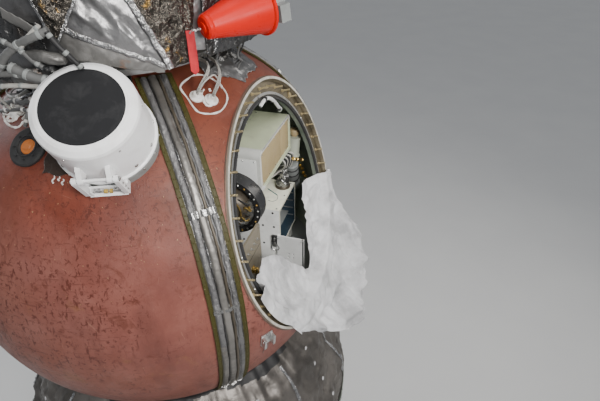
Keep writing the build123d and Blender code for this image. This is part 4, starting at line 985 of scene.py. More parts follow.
# plate with turned-up edges between the hinge ears, with yellow-brown clamps
b = Batch()
LOW = -DY
for s in (-1, 1):
    for u0, u1 in ((1.146, 1.152),):
        pass
b.box(C + LOW * 0.2135 + DN * 1.158, (DX, LOW, DN), (0.132, 0.010, 0.052), MATS["white_paint"], 0.003)
b.box(C + LOW * 0.2240 + DN * 1.1345, (DX, LOW, DN), (0.150, 0.030, 0.004), MATS["white_paint"], 0.0015)
for x in (-0.060, 0.060):
    b.box(C + DX * x + LOW * 0.2260 + DN * 1.158, (DX, LOW, DN), (0.004, 0.022, 0.050), MATS["white_paint"], 0.0012)
for x, w in ((-0.006, 0.016), (0.014, 0.012)):
    b.cyl(C + DX * (x - w / 2) + LOW * 0.2265 + DN * 1.160, C + DX * (x + w / 2) + LOW * 0.2265 + DN * 1.160, 0.0085, X_YELLOW, 14, bev=0.0015)
b.cyl(C + DX * -0.056 + LOW * 0.2265 + DN * 1.160, C + DX * 0.056 + LOW * 0.2265 + DN * 1.160, 0.0040, X_STEEL, 12)
for x in (-0.045, -0.030, 0.034, 0.048):
    b.bolt(C + DX * x + LOW * 0.2187 + DN * 1.174, LOW, 0.0040, X_STEEL, 0.0035)
    b.bolt(C + DX * x + LOW * 0.2187 + DN * 1.144, LOW, 0.0040, X_STEEL, 0.0035)
for sx in (-1, 1):
    b.bolt(C + DX * (sx * 0.0846) + LOW * 0.228 + DN * 1.300, DX * sx, 0.0070, X_STEEL, 0.005)
    for hh in (1.18, 1.215, 1.25):
        b.bolt(C + DX * (sx * 0.0846) + LOW * 0.228 + DN * hh, DX * sx, 0.0038, X_STEEL, 0.003)
b.emit("drum_hinge_trim", slot="white_paint", sharp=35)

# ------------------------------------------------------------------ battery module: draped film, pocket, flaps and hems
def drape_r(az, z, seed=0.0):
    """Radius of the film over the battery module, with soft folds."""
    p = (math.cos(math.radians(az)), math.sin(math.radians(az)), z)
    folds = 0.010 * nz(p, 2.2, seed) + 0.006 * nz((p[0], p[1], z * 0.5 + az * 0.02), 5.0, seed + 1)
    return 0.6905 + folds + 0.004 * crumple((p[0], p[1], z), 7.0, seed + 2)


def drape(u, v):
    az = u * 360.0 - 180.0
    zb = 1.196 + 0.012 * math.sin(math.radians(az) * 5 + 1) + 0.010 * nz((math.cos(math.radians(az)) * 3, math.sin(math.radians(az)) * 3, 0), 1.0, 2)
    if v > 0.86:                                     # turned in at the top, under the cover
        t = (v - 0.86) / 0.14
        return around(1.735 + 0.010 * math.sin(t * 2.6), lerp(drape_r(az, 1.73), 0.645, smooth(t)), az)
    if v < 0.05:                                     # hem turned under
        return around(zb + 0.006 * (1 - v / 0.05), lerp(0.664, drape_r(az, zb), smooth(v / 0.05)), az)
    z = lerp(zb, 1.735, (v - 0.05) / 0.81)
    return around(z, drape_r(az, z), az)


skin("battery_film", drape, 248, 46, MATS["blanket"], close=True, slot="blanket", replaces="battery_blanket", solid=0.002, sharp=70)


def flap(name, corners, mat, off, bulge, crk, nu=70, nv=50, freq=16, seed=0.0, body="structure", slot="blanket", edge=None, fold=None, th=0.0015, lift=None):
    """A piece of film hung over the battery module. corners: (az, z) at lower left, lower right, upper right, upper left;
    off is how far it stands off the base film at its edges, bulge how much more in the middle."""
    (a0, z0), (a1, z1), (a2, z2), (a3, z3) = corners

    def at(u, v):
        az = lerp(lerp(a0, a1, u), lerp(a3, a2, u), v)
        z = lerp(lerp(z0, z1, u), lerp(z3, z2, u), v)
        p = (math.cos(math.radians(az)), math.sin(math.radians(az)), z)
        rim = min(1.0, 4 * min(u, 1 - u, v, 1 - v))
        r = 0.700 + off + bulge * math.sin(math.pi * u) * math.sin(math.pi * min(1, v * 0.9 + 0.05))
        r += crk * (crumple(p, freq, seed) + 0.5) * (0.35 + 0.65 * rim)
        if fold:
            r += fold(u, v) * rim
        if lift:
            r += lift(u, v)
        wob = 0.006 * (1 - rim)
        return around(z + wob * nz(p, 30, seed), r, az + wob * 60 * nz(p, 25, seed + 2))
    o = skin(name, at, nu, nv, mat, slot=slot, solid=th, sharp=55)
    if edge:
        b = Batch()
        for k, (fu, w) in enumerate(edge):
            n = 70
            def band(u, v, fu=fu, w=w):
                uu, vv = fu(u)
                p = at(uu, vv)
                q = at(min(1, max(0, uu + 0.01)), vv)
                rad = Vector((p.x, p.y, 0)).normalized()
                a, c = fu(max(0, u - 0.01)), fu(min(1, u + 0.01))
                along = (at(*c) - at(*a)).normalized()
                across = rad.cross(along).normalized()
                return p + across * (v - 0.5) * w + rad * (0.0045 + 0.0055 * abs(crumple(p, 42, seed + k)) * (1 - abs(2 * v - 1)))
            b.sheet(band, 120, 7, X_FOIL_BRIGHT)
        b.emit(name + "_hem", slot="foil_wrap", sharp=60, solid=0.0012)
    return o


# the photograph's side, from left to right
def folds_main(u, v):
    s = u * 0.75 + v * 1.0
    return 0.007 * math.sin(s * 14) * smooth(v * 2) + 0.010 * math.exp(-((u * 0.9 + v * 0.55 - 0.72) / 0.05) ** 2) + 0.006 * math.exp(-((u * 0.8 + v * 0.7 - 0.45) / 0.04) ** 2)


flap("film_main", [(-161.0, 1.335), (-133.6, 1.165), (-133.0, 1.56), (-166.0, 1.56)], MATS["blanket"], 0.016, 0.010, 0.006, 92, 58, 9, 1.0,
     edge=[(lambda t: (t, 0.012), 0.020)], fold=folds_main)
flap("film_pale_under", [(-165.0, 1.235), (-134.5, 1.140), (-134.0, 1.215), (-163.0, 1.345)], X_PALE, 0.006, 0.004, 0.004, 70, 30, 12, 2.0)
flap("film_pocket", [(-164.4, 1.300), (-162.6, 1.300), (-150.5, 1.52), (-168.5, 1.52)], X_GOLD, 0.026, 0.024, 0.016, 70, 58, 11, 3.0, slot="foil_wrap",
     edge=[(lambda t: (0.01, t), 0.012), (lambda t: (0.99, t), 0.012)])
flap("film_light_band", [(-178.0, 1.372), (-167.0, 1.300), (-166.4, 1.335), (-177.4, 1.412)], X_PALE, 0.024, 0.004, 0.002, 50, 10, 12, 4.0)
flap("film_flap_right", [(-132.8, 1.160), (-124.6, 1.165), (-119.5, 1.50), (-143.5, 1.49)], X_GOLD, 0.006, 0.012, 0.012, 76, 58, 11, 5.0, slot="foil_wrap",
     edge=[(lambda t: (0.012, t), 0.024)], lift=lambda u, v: 0.026 * (1 - smooth(u * 2.2)))
flap("film_dark_left", [(176.0 - 360, 1.25), (-167.5, 1.262), (-168.5, 1.36), (172.0 - 360, 1.38)], X_FOIL_DARK, 0.012, 0.008, 0.010, 60, 40, 10, 6.0)
flap("film_under_cover", [(-118.5, 1.170), (-88.0, 1.170), (-88.0, 1.46), (-118.5, 1.46)], X_FOIL_DARK, 0.008, 0.006, 0.008, 72, 40, 10, 7.0)
flap("film_front_right", [(-86.0, 1.180), (-48.0, 1.200), (-46.0, 1.56), (-87.0, 1.54)], MATS["blanket"], 0.014, 0.010, 0.008, 84, 48, 8, 8.0,
     edge=[(lambda t: (t, 0.012), 0.018), (lambda t: (0.012, t), 0.018)], fold=folds_main)
flap("film_right_a", [(-50.0, 1.190), (-8.0, 1.200), (-10.0, 1.58), (-49.0, 1.55)], MATS["blanket"], 0.020, 0.010, 0.008, 84, 48, 8, 9.0,
     edge=[(lambda t: (t, 0.012), 0.018)], fold=folds_main)
flap("film_right_b", [(-12.0, 1.190), (34.0, 1.180), (36.0, 1.56), (-14.0, 1.58)], X_FOIL_DARK, 0.012, 0.012, 0.012, 84, 48, 9, 10.0,
     edge=[(lambda t: (t, 0.012), 0.018), (lambda t: (0.985, t), 0.018)])
flap("film_rear_a", [(31.0, 1.190), (78.0, 1.200), (76.0, 1.56), (33.0, 1.55)], MATS["blanket"], 0.018, 0.010, 0.008, 84, 48, 8, 11.0,
     edge=[(lambda t: (t, 0.012), 0.018)], fold=folds_main)
flap("film_rear_b", [(75.0, 1.185), (124.0, 1.190), (126.0, 1.58), (74.0, 1.55)], MATS["blanket"], 0.012, 0.012, 0.010, 84, 48, 9, 12.0,
     edge=[(lambda t: (t, 0.012), 0.018), (lambda t: (0.985, t), 0.018)])
flap("film_rear_c", [(121.0, 1.190), (170.0, 1.200), (168.0, 1.56), (122.0, 1.55)], X_FOIL_DARK, 0.018, 0.012, 0.012, 84, 48, 9, 13.0,
     edge=[(lambda t: (t, 0.012), 0.018)])

# lacing of tape round the top and the middle of the film
b = Batch()
for z, w, sd in ((1.665, 0.030, 1.0), (1.585, 0.020, 2.0)):
    b.sheet(lambda u, v: around(z + (v - 0.5) * w + 0.004 * math.sin(u * 40 + sd), 0.7135 + 0.002 * abs(crumple((math.cos(u * 6.283), math.sin(u * 6.283), z + v * w), 20, sd)), u * 360), 260, 6, X_FOIL_BRIGHT, True)
for k in range(48):                                    # tie buttons through the film
    az = 7.5 * k + 2 * math.sin(k * 2.1)
    z = 1.625 + 0.010 * math.sin(k * 1.3)
    n = Vector((math.cos(math.radians(az)), math.sin(math.radians(az)), 0))
    b.revolve(around(z, 0.703, az), n, [(0.010, 0), (0.010, 0.003), (0.004, 0.006), (0, 0.006)], MATS["white_cloth"], 10)
b.emit("film_tapes", slot="foil_wrap", sharp=50, solid=0.0)

# ------------------------------------------------------------------ film collar round the straps' top ring
def collar(name, a0, a1, rows, mat, crk, seed, lift=0.0):
    """Crumpled film lying on the ball from the top ring down to an uneven edge; rows: (azimuth, lowest elevation)."""
    def at(u, v):
        az = lerp(a0, a1, u)
        n1 = nz((u * 9, v * 5, seed), 1.0, seed)
        el = lerp(67.2, table(az, rows) + 0.9 * nz((u * 31, 0, seed), 1.0, seed), v)
        p = direction(az, el)
        h = 0.004 + lift * math.sin(math.pi * min(1.0, v * 1.1)) + crk * (0.5 + crumple(p, 13, seed)) * (0.25 + 0.75 * math.sin(math.pi * min(v * 1.05, 1)))
        if v < 0.12:
            h += 0.030 * (1 - v / 0.12)
        return C + p * (R + max(0.0025, h + 0.004 * n1))
    n = max(30, int(abs(a1 - a0) * 1.1))
    return skin(name, at, n, 44, mat, slot="blanket", solid=0.0012, sharp=50)


collar("collar_front", -108.0, -60.0, [(-108, 62.0), (-103, 61.0), (-97, 58.6), (-93, 55.8), (-88, 56.5), (-80, 56.0), (-72, 55.0), (-66, 56.5), (-60, 60)], MATS["blanket"], 0.007, 1.0, 0.010)
collar("collar_front_top", -100.0, -62.0, [(-100, 64.0), (-90, 62.0), (-84, 60.2), (-75, 59.5), (-66, 60.0), (-62, 62)], X_FOIL_DARK, 0.010, 2.0, 0.022)
collar("collar_left", -196.0, -146.0, [(-196, 60.0), (-188, 62.0), (-178, 63.5), (-170, 62.5), (-160, 62.0), (-152, 62.5), (-146, 64)], X_FOIL_DARK, 0.020, 3.0, 0.016)
collar("collar_right", -28.0, 30.0, [(-28, 62), (-18, 60.0), (-5, 59.5), (10, 60.5), (22, 60.5), (30, 62)], X_FOIL_DARK, 0.016, 4.0, 0.012)
collar("collar_rear", 58.0, 122.0, [(58, 62), (70, 60.5), (85, 59.5), (100, 60), (114, 61), (122, 62)], MATS["blanket"], 0.016, 5.0, 0.012)

# ------------------------------------------------------------------ wires, sleeves and tubes between the capsule and the battery module
def hang(a, b, sag, n=14, wob=0.01, seed=0.0, out=0.0):
    """A limp line from a to b that sags, kept outside the ball."""
    a, b = Vector(a), Vector(b)
    pts = []
    for i in range(n + 1):
        t = i / n
        p = a.lerp(b, t)
        p.z -= sag * 4 * t * (1 - t)
        env = math.sin(math.pi * t)
        p += Vector((nz((t * 3, 0, 0), 1, seed), nz((0, t * 3, 0), 1, seed + 1), nz((0, 0, t * 3), 1, seed + 2))) * wob * env
        d = p - C
        lowest = R + 0.006 + out * env
        if d.length < lowest:
            p = C + d.normalized() * lowest
        pts.append(p)
    return pts


b = Batch()
wr = random.Random(5)
wire_mats = [X_WIRE_GREY, X_WIRE_WHITE, X_FOIL_DARK, X_BLACK, X_FOIL_BRIGHT, X_WIRE_GREY]
for centre, width, count in ((-178.0, 34.0, 46), (-95.0, 20.0, 12), (0.0, 34.0, 26), (90.0, 40.0, 30)):
    for k in range(count):
        az0 = centre + wr.uniform(-width / 2, width / 2)
        az1 = az0 + wr.uniform(-16, 16)
        r0 = wr.uniform(0.47, 0.60)
        top = around(wr.uniform(1.20, 1.215), wr.uniform(0.52, 0.66), az1)
        zb = math.sqrt(max(0.0, R * R - r0 * r0))
        bot = around(zb + 0.012, r0, az0)
        rr = wr.choice([0.0022, 0.003, 0.004, 0.0055, 0.008])
        b.tube(hang(bot, top, wr.uniform(-0.02, 0.03), 12, 0.06, wr.random() * 50), rr, wr.choice(wire_mats), 7)
b.emit("module_wires", slot="cable_jacket", sharp=60)

# the loom on the photograph's left: sleeved bundles that run level round the top of the capsule
b = Batch()
for k, (a0, e0, a1, e1, h0, h1, r, m) in enumerate([
        (-205, 55.5, -162, 62.5, 0.03, 0.05, 0.011, X_WIRE_GREY), (-204, 57.5, -165, 61.0, 0.05, 0.04, 0.009, X_WIRE_WHITE),
        (-200, 59.5, -158, 64.0, 0.03, 0.06, 0.013, X_FOIL_DARK), (-207, 53.5, -170, 58.5, 0.02, 0.02, 0.008, X_WIRE_GREY),
        (-198, 62.0, -160, 66.0, 0.06, 0.05, 0.010, X_WIRE_GREY), (-206, 60.0, -172, 66.0, 0.09, 0.08, 0.007, X_WIRE_WHITE),
        (-196, 56.5, -176, 64.0, 0.07, 0.03, 0.006, X_FOIL_BRIGHT), (-190, 54.0, -178, 62.0, 0.02, 0.05, 0.005, X_WIRE_WHITE),
        (-187, 52.5, -184, 58.5, 0.015, 0.05, 0.007, X_WIRE_GREY), (-183, 53.0, -180, 60.0, 0.015, 0.05, 0.006, X_WIRE_GREY)]):
    line = []
    for i in range(26):
        t = i / 25
        az = lerp(a0, a1, t) + 2.2 * nz((t * 4, k, 0), 1.0, k)
        el = lerp(e0, e1, t) + 2.4 * nz((t * 4, 0, k), 1.0, k + 3) * math.sin(math.pi * t)
        line.append(C + direction(az, el) * (R + r + lerp(h0, h1, t) * (0.4 + 0.6 * math.sin(math.pi * t)) + 0.002))
    b.tube(line, r, m, 9, rad=lambda t: 1 + 0.06 * math.sin(t * 120 + k))
    for t in (0.2, 0.45, 0.7, 0.9):                   # lashings
        i = int(t * 25)
        d = (line[min(i + 1, 25)] - line[i - 1]).normalized()
        b.revolve(line[i] - d * 0.007, d, [(r * 0.9, 0), (r * 1.18, 0.002), (r * 1.18, 0.012), (r * 0.9, 0.014)], X_SEAL, 12)
b.emit("loom_left", slot="cable_jacket", sharp=60)

# loose loops of white wire over the left port
b = Batch()
for k, (dx, dy, rx, ry, tilt) in enumerate([(-.02, .05, .060, .045, .3), (.03, .02, .045, .050, 1.1), (-.05, -.01, .040, .034, 2.0), (.05, .08, .055, .040, .8), (-.09, .10, .050, .060, .1)]):
    loop = []
    for i in range(30):
        a = 2 * math.pi * i / 30
        x, y = rx * math.cos(a), ry * math.sin(a)
        x, y = x * math.cos(tilt) - y * math.sin(tilt), x * math.sin(tilt) + y * math.cos(tilt)
        loop.append(on_ball(163.4, 55.1, dx + x, dy + y + 0.02, 0.012 + 0.012 * (1 + math.sin(a * 1 + k)) + 0.004 * math.sin(3 * a)))
    b.tube(loop, 0.0036, X_WIRE_WHITE if k % 2 else X_SEAL, 7, True)
b.emit("wire_loops_left", slot="cable_jacket", sharp=60)

# thin third strand at the right port and its knot
b = Batch()
pts = [rel(-.318, -.551, .9960), rel(-.322, -.560, 1.024), rel(-.300, -.585, 1.052), rel(-.262, -.600, 1.060), rel(-.235, -.606, 1.030), rel(-.238, -.622, .9905)]
b.tube(spline(pts, 8), 0.0042, X_WIRE_WHITE, 8, rad=lambda t: 1 + 0.08 * math.sin(t * 90))
for c, r in (((-.316, -.549, .994), .012), ((-.290, -.597, .968), .013)):
    b.revolve(rel(*c) - Vector((0, 0, .006)), (Vector(c)).normalized(), [(0.011, 0), (r, 0.004), (r * 0.95, 0.012), (0.009, 0.016)], X_SEAL, 16)
b.emit("port_strand", slot="cable_jacket", sharp=60)

# translucent bag and taped connectors at the far left, under the battery module
b = Batch()
for k, (az, z, r0, ln, m) in enumerate([(-176.0, 1.150, 0.70, 0.16, X_PALE), (-168.5, 1.165, 0.68, 0.13, X_FOIL_DARK), (174.0, 1.14, 0.70, 0.15, X_FOIL_DARK), (-160.0, 1.150, 0.66, 0.12, X_PALE),
                                        (20.0, 1.15, 0.68, 0.15, X_PALE), (100.0, 1.15, 0.68, 0.15, X_FOIL_DARK)]):
    o = around(z, r0, az)
    t = Vector((-math.sin(math.radians(az)), math.cos(math.radians(az)), -0.25 if k % 2 else 0.2)).normalized()
    n = Vector((math.cos(math.radians(az)), math.sin(math.radians(az)), 0))
    line = [o + t * (s - 0.5) * ln + n * 0.02 * math.sin(s * 3) for s in np.linspace(0, 1, 16)]
    base = len(b.v)
    b.tube(line, 0.040, m, 18, rad=lambda s: 0.35 + 0.75 * math.sin(math.pi * min(1, max(0, s * 0.9 + 0.06))) ** 0.7, flat=0.75)
    for i in range(base, len(b.v)):
        p = Vector(b.v[i])
        b.v[i] = tuple(p + (p - o) * 0.16 * crumple(p, 22, k))
b.emit("wrapped_connectors", slot="blanket", sharp=50)

# ------------------------------------------------------------------ inside the capsule
def place_mat(name, rules, rough=0.42, bump=0.12):
    """Paint chosen by place: rules are (axis, op, value, colour) tests, in metres from the capsule centre, last match wins."""
    k = Mat(name, rough=rough, base=rules[0])
    sep = k.nt.nodes.new("ShaderNodeSeparateXYZ")
    k.nt.links.new(k.vmath("SUBTRACT", k.co, tuple(C)), sep.inputs[0])
    n = k.noise(5, 5, 0.6)
    def var(c):
        return k.ramp(n, [(0.34, tuple(x * 0.86 for x in c)), (0.66, tuple(min(1, x * 1.07) for x in c))])
    col = var(rules[0])
    for tests, c in rules[1:]:
        f = None
        for ax, op, v in tests:
            g = k.math("GREATER_THAN" if op == ">" else "LESS_THAN", sep.outputs["xyz".index(ax)], v)
            f = g if f is None else k.math("MULTIPLY", f, g)
        col = k.mix(f, col, var(c))
    smudge = k.ramp(k.noise(13, 6, 0.65, 0.4), [(0.56, 0.0), (0.76, 0.30)])
    col = k.mix(smudge, col, (0.25, 0.23, 0.19))
    k.set(base=col, rough=k.range(k.noise(20, 4), 0.3, 0.7, rough - 0.08, rough + 0.12))
    k.bump(k.noise(240, 3, 0.6), bump, 0.0008)
    return k.m


M_BOX = place_mat("payload_box_paint", [(0.55, 0.60, 0.42), ([("x", "<", -0.004)], (0.60, 0.61, 0.58)), ([("y", "<", -0.7075), ("z", ">", 0.5)], (0.60, 0.60, 0.56)), ([("y", "<", -0.7075), ("x", "<", 0.02)], (0.64, 0.64, 0.61))])
M_RACK = place_mat("rack_paint", [(0.90, 0.91, 0.89), ([("z", ">", 0.0295)], (0.95, 0.94, 0.78)), ([("y", "<", -0.7345)], (0.82, 0.81, 0.70)),
                                  ([("x", ">", 0.1725), ("x", "<", 0.5075), ("z", ">", -0.2875), ("z", "<", 0.0175), ("y", ">", -0.733), ("y", "<", -0.49)], (0.035, 0.060, 0.085))])
for nm, m in (("payload_box", M_BOX), ("rack_box", M_RACK)):
    NODES[nm].data.materials.clear()
    NODES[nm].data.materials.append(m)
NODES["round_instrument"].data.materials.clear()
NODES["round_instrument"].data.materials.append(worn("instrument_ring", (0.035, 0.035, 0.037), 0.32, 0.4, (0.10, 0.09, 0.08), 0.5, 0.15, (0.30, 0.29, 0.27)))
NODES["knob_panel"].data.materials.clear()
NODES["knob_panel"].data.materials.append(worn("panel_tan_grey", (0.235, 0.205, 0.150), 0.44, 0.1, (0.13, 0.11, 0.08), 0.4, 0.15))
NODES["guide_plate"].data.materials.clear()
NODES["guide_plate"].data.materials.append(X_SILVERPANEL)
NODES["cable_glands"].data.materials.clear()
NODES["cable_glands"].data.materials.append(X_SEAL)
EX, EY, EZ = Vector((1, 0, 0)), Vector((0, 1, 0)), Vector((0, 0, 1))

# payload box: tan front panel with a groove and screws, edge trim, end panel, lid seam
b = Batch()
b.box(rel(.155, -.7015, .430), (EX, EY, EZ), (.336, .004, .205), X_TAN, 0.0015)
b.box(rel(.4105, -.7015, .430), (EX, EY, EZ), (.164, .004, .205), X_TAN, 0.0015)
b.box(rel(.326, -.7000, .430), (EX, EY, EZ), (.004, .003, .205), X_BLACK, 0.0)
for x in (0.0, .11, .22, .31, .345, .42, .485):
    for z in (.338, .522):
        b.bolt(rel(x, -.7035, z), -EY, 0.0036, X_STEEL, 0.003)
b.emit("payload_front_panel", slot="cream_paint", sharp=35)
b = Batch()
b.box(rel(-.0465, -.535, .415), (EX, EY, EZ), (.003, .300, .190), X_WHITE, 0.001)
for y in (-.675, -.605, -.465, -.395):
    for z in (.330, .500):
        b.bolt(rel(-.0482, y, z), -EX, 0.0036, X_STEEL, 0.003)
b.box(rel(.24, -.7092, .554), (EX, EY, EZ), (.480, .0016, .006), MATS["bare_alloy"], 0.0005)
for x in np.linspace(.02, .46, 9):
    b.bolt(rel(x, -.500, .5602), EZ, 0.0034, X_STEEL, 0.0026)
    b.bolt(rel(x, -.400, .5602), EZ, 0.0034, X_STEEL, 0.0026)
b.tube([rel(.02 + .44 * t, -.450, .5606) for t in np.linspace(0, 1, 6)], 0.0012, X_BLACK, 5)
b.box(rel(.24, -.45, .5625), (EX, EY, EZ), (.120, .060, .005), X_WHITE, 0.0015)
b.emit("payload_box_trim", slot="white_paint", sharp=35)

# round instrument: dome, connectors, bolts on the ring
b = Batch()
O = rel(-.092, -.545, .235)
b.revolve(O + EX * 0.020, -EX, [(0.150, 0.0), (0.148, 0.012), (0.118, 0.020), (0.112, 0.050), (0.096, 0.084), (0.066, 0.106), (0.030, 0.116), (0, 0.118)], X_BRONZE, 60)
b.revolve(O + EX * 0.020, -EX, [(0.150, 0.0), (0.151, 0.020), (0.140, 0.026), (0.130, 0.022)], MATS["bare_alloy"], 60)
for k in range(26):
    a = 2 * math.pi * k / 26
    b.bolt(O + EX * -0.0485 + EY * 0.168 * math.cos(a) + EZ * 0.168 * math.sin(a), -EX, 0.0048, X_STEEL if k % 3 else X_BRASS, 0.004)
for k, (a, r, s) in enumerate([(-58, .122, .020), (-74, .128, .016), (-90, .124, .021), (-106, .128, .017), (-40, .126, .016), (-122, .122, .020), (-22, .124, .018)]):
    p = O + EX * -0.004 + EY * (-r) * math.cos(math.radians(a + 90)) * -1 + EZ * r * math.sin(math.radians(a))
    p = O + EY * (-r * math.cos(math.radians(a + 40))) + EZ * (r * math.sin(math.radians(a + 40)))
    b.revolve(p, -EX, [(s, 0), (s, 0.018), (s * 0.86, 0.020), (s * 0.86, 0.034), (s * 1.05, 0.036), (s * 1.05, 0.046), (s * 0.7, 0.048), (0, 0.048)], X_STEEL if k % 2 else MATS["bare_alloy"], 18)
    q = p - EX * 0.048
    b.tube(spline([q, q - EX * 0.014 + EZ * 0.004, q - EX * 0.020 + EY * 0.030 + EZ * 0.024, O - EX * 0.030 + EY * 0.115 * math.cos(k) + EZ * 0.118 * math.sin(k * 1.3)], 7), 0.0048, [X_BLACK, X_BRASS, X_WIRE_GREY][k % 3], 7)
for k in range(5):                                    # clamp fingers round the dome
    a = 2 * math.pi * k / 5 + 0.5
    d = EY * math.cos(a) + EZ * math.sin(a)
    b.box(O - EX * 0.030 + d * 0.118, (EX, d, EX.cross(d)), (0.050, 0.012, 0.020), X_BRASS, 0.003)
b.tube([O + EX * 0.012 + EY * 0.080 * math.cos(t) + EZ * 0.080 * math.sin(t) - EX * 0.100 for t in np.linspace(0, 6.283, 41)[:-1]], 0.005, X_BRASS, 8, True)
b.emit("round_instrument_detail", slot="bare_alloy", sharp=35)

# rack: rim, teal strip, latch, screws, drawer rails and a shelf inside
b = Batch()
b.box(rel(.362, -.622, .0316), (Vector((.052, .079, 0)).normalized(), Vector((.079, -.052, 0)).normalized(), EZ), (.105, .006, .003), X_TEAL, 0.0008)
b.tube(spline([rel(.255, -.628, .0318), rel(.252, -.660, .0318), rel(.278, -.682, .0318), rel(.315, -.676, .0318), rel(.338, -.662, .0318)], 8), 0.0016, MATS["grey_paint"], 6)
for x, y in ((.180, -.455), (.500, -.455), (.180, -.712), (.500, -.712), (.34, -.455), (.34, -.715)):
    b.bolt(rel(x, y, .0302), EZ, 0.0044, X_STEEL, 0.0032)
for a, c in (((.160, -.7362, .023), (.520, -.7362, .023)), ((.160, -.7362, -.293), (.520, -.7362, -.293))):
    p, q = rel(*a), rel(*c)
    b.box((p + q) / 2, (EX, EY, EZ), (.360, .0024, .013), MATS["cream_paint"], 0.0008)
for x in (.167, .513):
    b.box(rel(x, -.7362, -.135), (EX, EY, EZ), (.013, .0024, .303), MATS["cream_paint"], 0.0008)
for y, z in ((-.617, -.108), (-.695, -.108), (-.47, -.108), (-.47, -.26), (-.617, -.26), (-.69, .005), (-.47, .005)):
    b.bolt(rel(.1598, y, z), -EX, 0.0052, X_BLACK, 0.003, False)
b.emit("rack_trim", slot="cream_paint", sharp=35)
b = Batch()
for z in (-.245, -.180, -.115, -.050):
    for x in (.1775, .5025):
        b.box(rel(x, -.615, z), (EX, EY, EZ), (.007, .215, .006), MATS["bare_alloy"], 0.0012)
b.box(rel(.340, -.600, -.2150), (EX, EY, EZ), (.322, .180, .003), MATS["grey_paint"], 0.001)
for k in range(7):
    x = .205 + .045 * k
    b.revolve(rel(x, -.505, -.10), -EY, [(0, 0), (.016, 0), (.016, .010), (.012, .012), (.012, .020), (0, .020)], X_STEEL, 18)
    b.tube(spline([rel(x, -.525, -.10), rel(x + .004, -.560, -.11), rel(x + .012, -.575, -.16), rel(x + .006, -.560, -.20)], 7), 0.0034, [X_TEAL, X_WIRE_GREY, X_BLACK][k % 3], 6)
b.box(rel(.340, -.502, -.030), (EX, EY, EZ), (.300, .006, .060), X_TEAL, 0.002)
b.emit("rack_inside_detail", slot="grey_paint", sharp=35)

# latch at the rack's front left edge: a steel dome in a black fork, with a ring
b = Batch()
O = rel(.1600, -.703, -.243)
b.revolve(O, -EX, [(0, 0), (.034, 0), (.034, .004), (.030, .007), (0, .007)], MATS["bare_alloy"], 32)
b.revolve(O - EX * .007, -EX, [(.021, 0), (.021, .010), (.018, .018), (.010, .023), (0, .024)], X_STEEL, 28)
for s in (-1, 1):
    b.box(O - EX * .017 + EY * (s * .0125) + EZ * .034, (EX, EY, EZ), (.020, .0055, .074), X_BLACK, 0.0015)
b.box(O - EX * .017 + EZ * .070, (EX, EY, EZ), (.018, .034, .010), X_BLACK, 0.002)
b.tube([O - EX * .014 + EY * .027 * math.cos(t) + EZ * (.027 * math.sin(t) - .030) for t in np.linspace(0, 6.283, 33)[:-1]], 0.0030, X_STEEL, 8, True)
b.emit("rack_latch", slot="bare_alloy", sharp=35)

# guide plate: dark post, bolts, foot flange
b = Batch()
b.cyl(rel(.1475, -.8985, -.180), rel(.1475, -.8985, -.440), 0.0042, X_BLACK, 12, bev=0.0008)
b.cyl(rel(.1475, -.8985, -.165), rel(.1475, -.8985, -.180), 0.0062, X_STEEL, 12, bev=0.001)
b.box(rel(.130, -.810, -.4370), (EX, EY, EZ), (.048, .180, .006), X_SILVERPANEL, 0.0015)
for y in (-.885, -.810, -.735):
    b.bolt(rel(.122, y, -.4340), EZ, 0.0050, X_STEEL, 0.004)
for y, z in ((-.727, -.190), (-.885, -.190), (-.727, -.42)):
    b.bolt(rel(.1478, y, z), -EX, 0.0042, X_STEEL, 0.003)
b.emit("guide_plate_detail", slot="white_paint", sharp=35)

# knob panel: two bronze knobs, switches without lettering, seams, screws
b = Batch()
for x, z, r in ((-.304, -.064, .017), (-.248, -.122, .015)):
    b.revolve(rel(x, -.7262, z), -EY, [(0, 0), (r * 1.5, 0), (r * 1.5, .003), (r * 1.05, .004), (r, .012), (r * .92, .024), (r * .70, .028), (0, .029)], X_BRASS, 28)
    for k in range(16):
        a = 2 * math.pi * k / 16
        b.cyl(rel(x + r * math.cos(a), -.7305, z + r * math.sin(a)), rel(x + r * .95 * math.cos(a), -.7500, z + r * .95 * math.sin(a)), 0.0012, X_BRASS, 5)
for x, z in ((-.430, .160), (-.180, .160), (-.430, -.310), (-.180, -.310), (-.430, -.07), (-.180, -.07)):
    b.bolt(rel(x, -.7262, z), -EY, 0.0046, X_STEEL, 0.0035, False)
for k in range(5):
    b.revolve(rel(-.40 + .046 * k, -.7262, .095), -EY, [(0, 0), (.009, 0), (.009, .003), (.0045, .004), (.0036, .018), (0, .020)], X_STEEL, 12)
for x0, z0, x1, z1 in ((-.435, .030, -.170, .030), (-.435, -.200, -.170, -.200)):
    b.tube([rel(lerp(x0, x1, t), -.7264, lerp(z0, z1, t)) for t in (0, .5, 1)], 0.0012, X_BLACK, 5)
b.box(rel(-.33, -.7275, -.255), (EX, EY, EZ), (.13, .003, .060), MATS["grey_paint"], 0.001)
b.emit("knob_panel_detail", slot="bare_alloy", sharp=35)

# between box and rack: wrapped cone, black wires, brass rod, pale green cylinder, beige knob, dark cylinder
b = Batch()
base = len(b.v)
WRAP = [(0.0, .066), (.040, .062), (.100, .050), (.150, .038), (.168, .042), (.1801, .020)]
def wrap_r(h):
    for (h0, r0), (h1, r1) in zip(WRAP, WRAP[1:]):
        if h <= h1:
            return lerp(r0, r1, (h - h0) / (h1 - h0))
    return WRAP[-1][1]


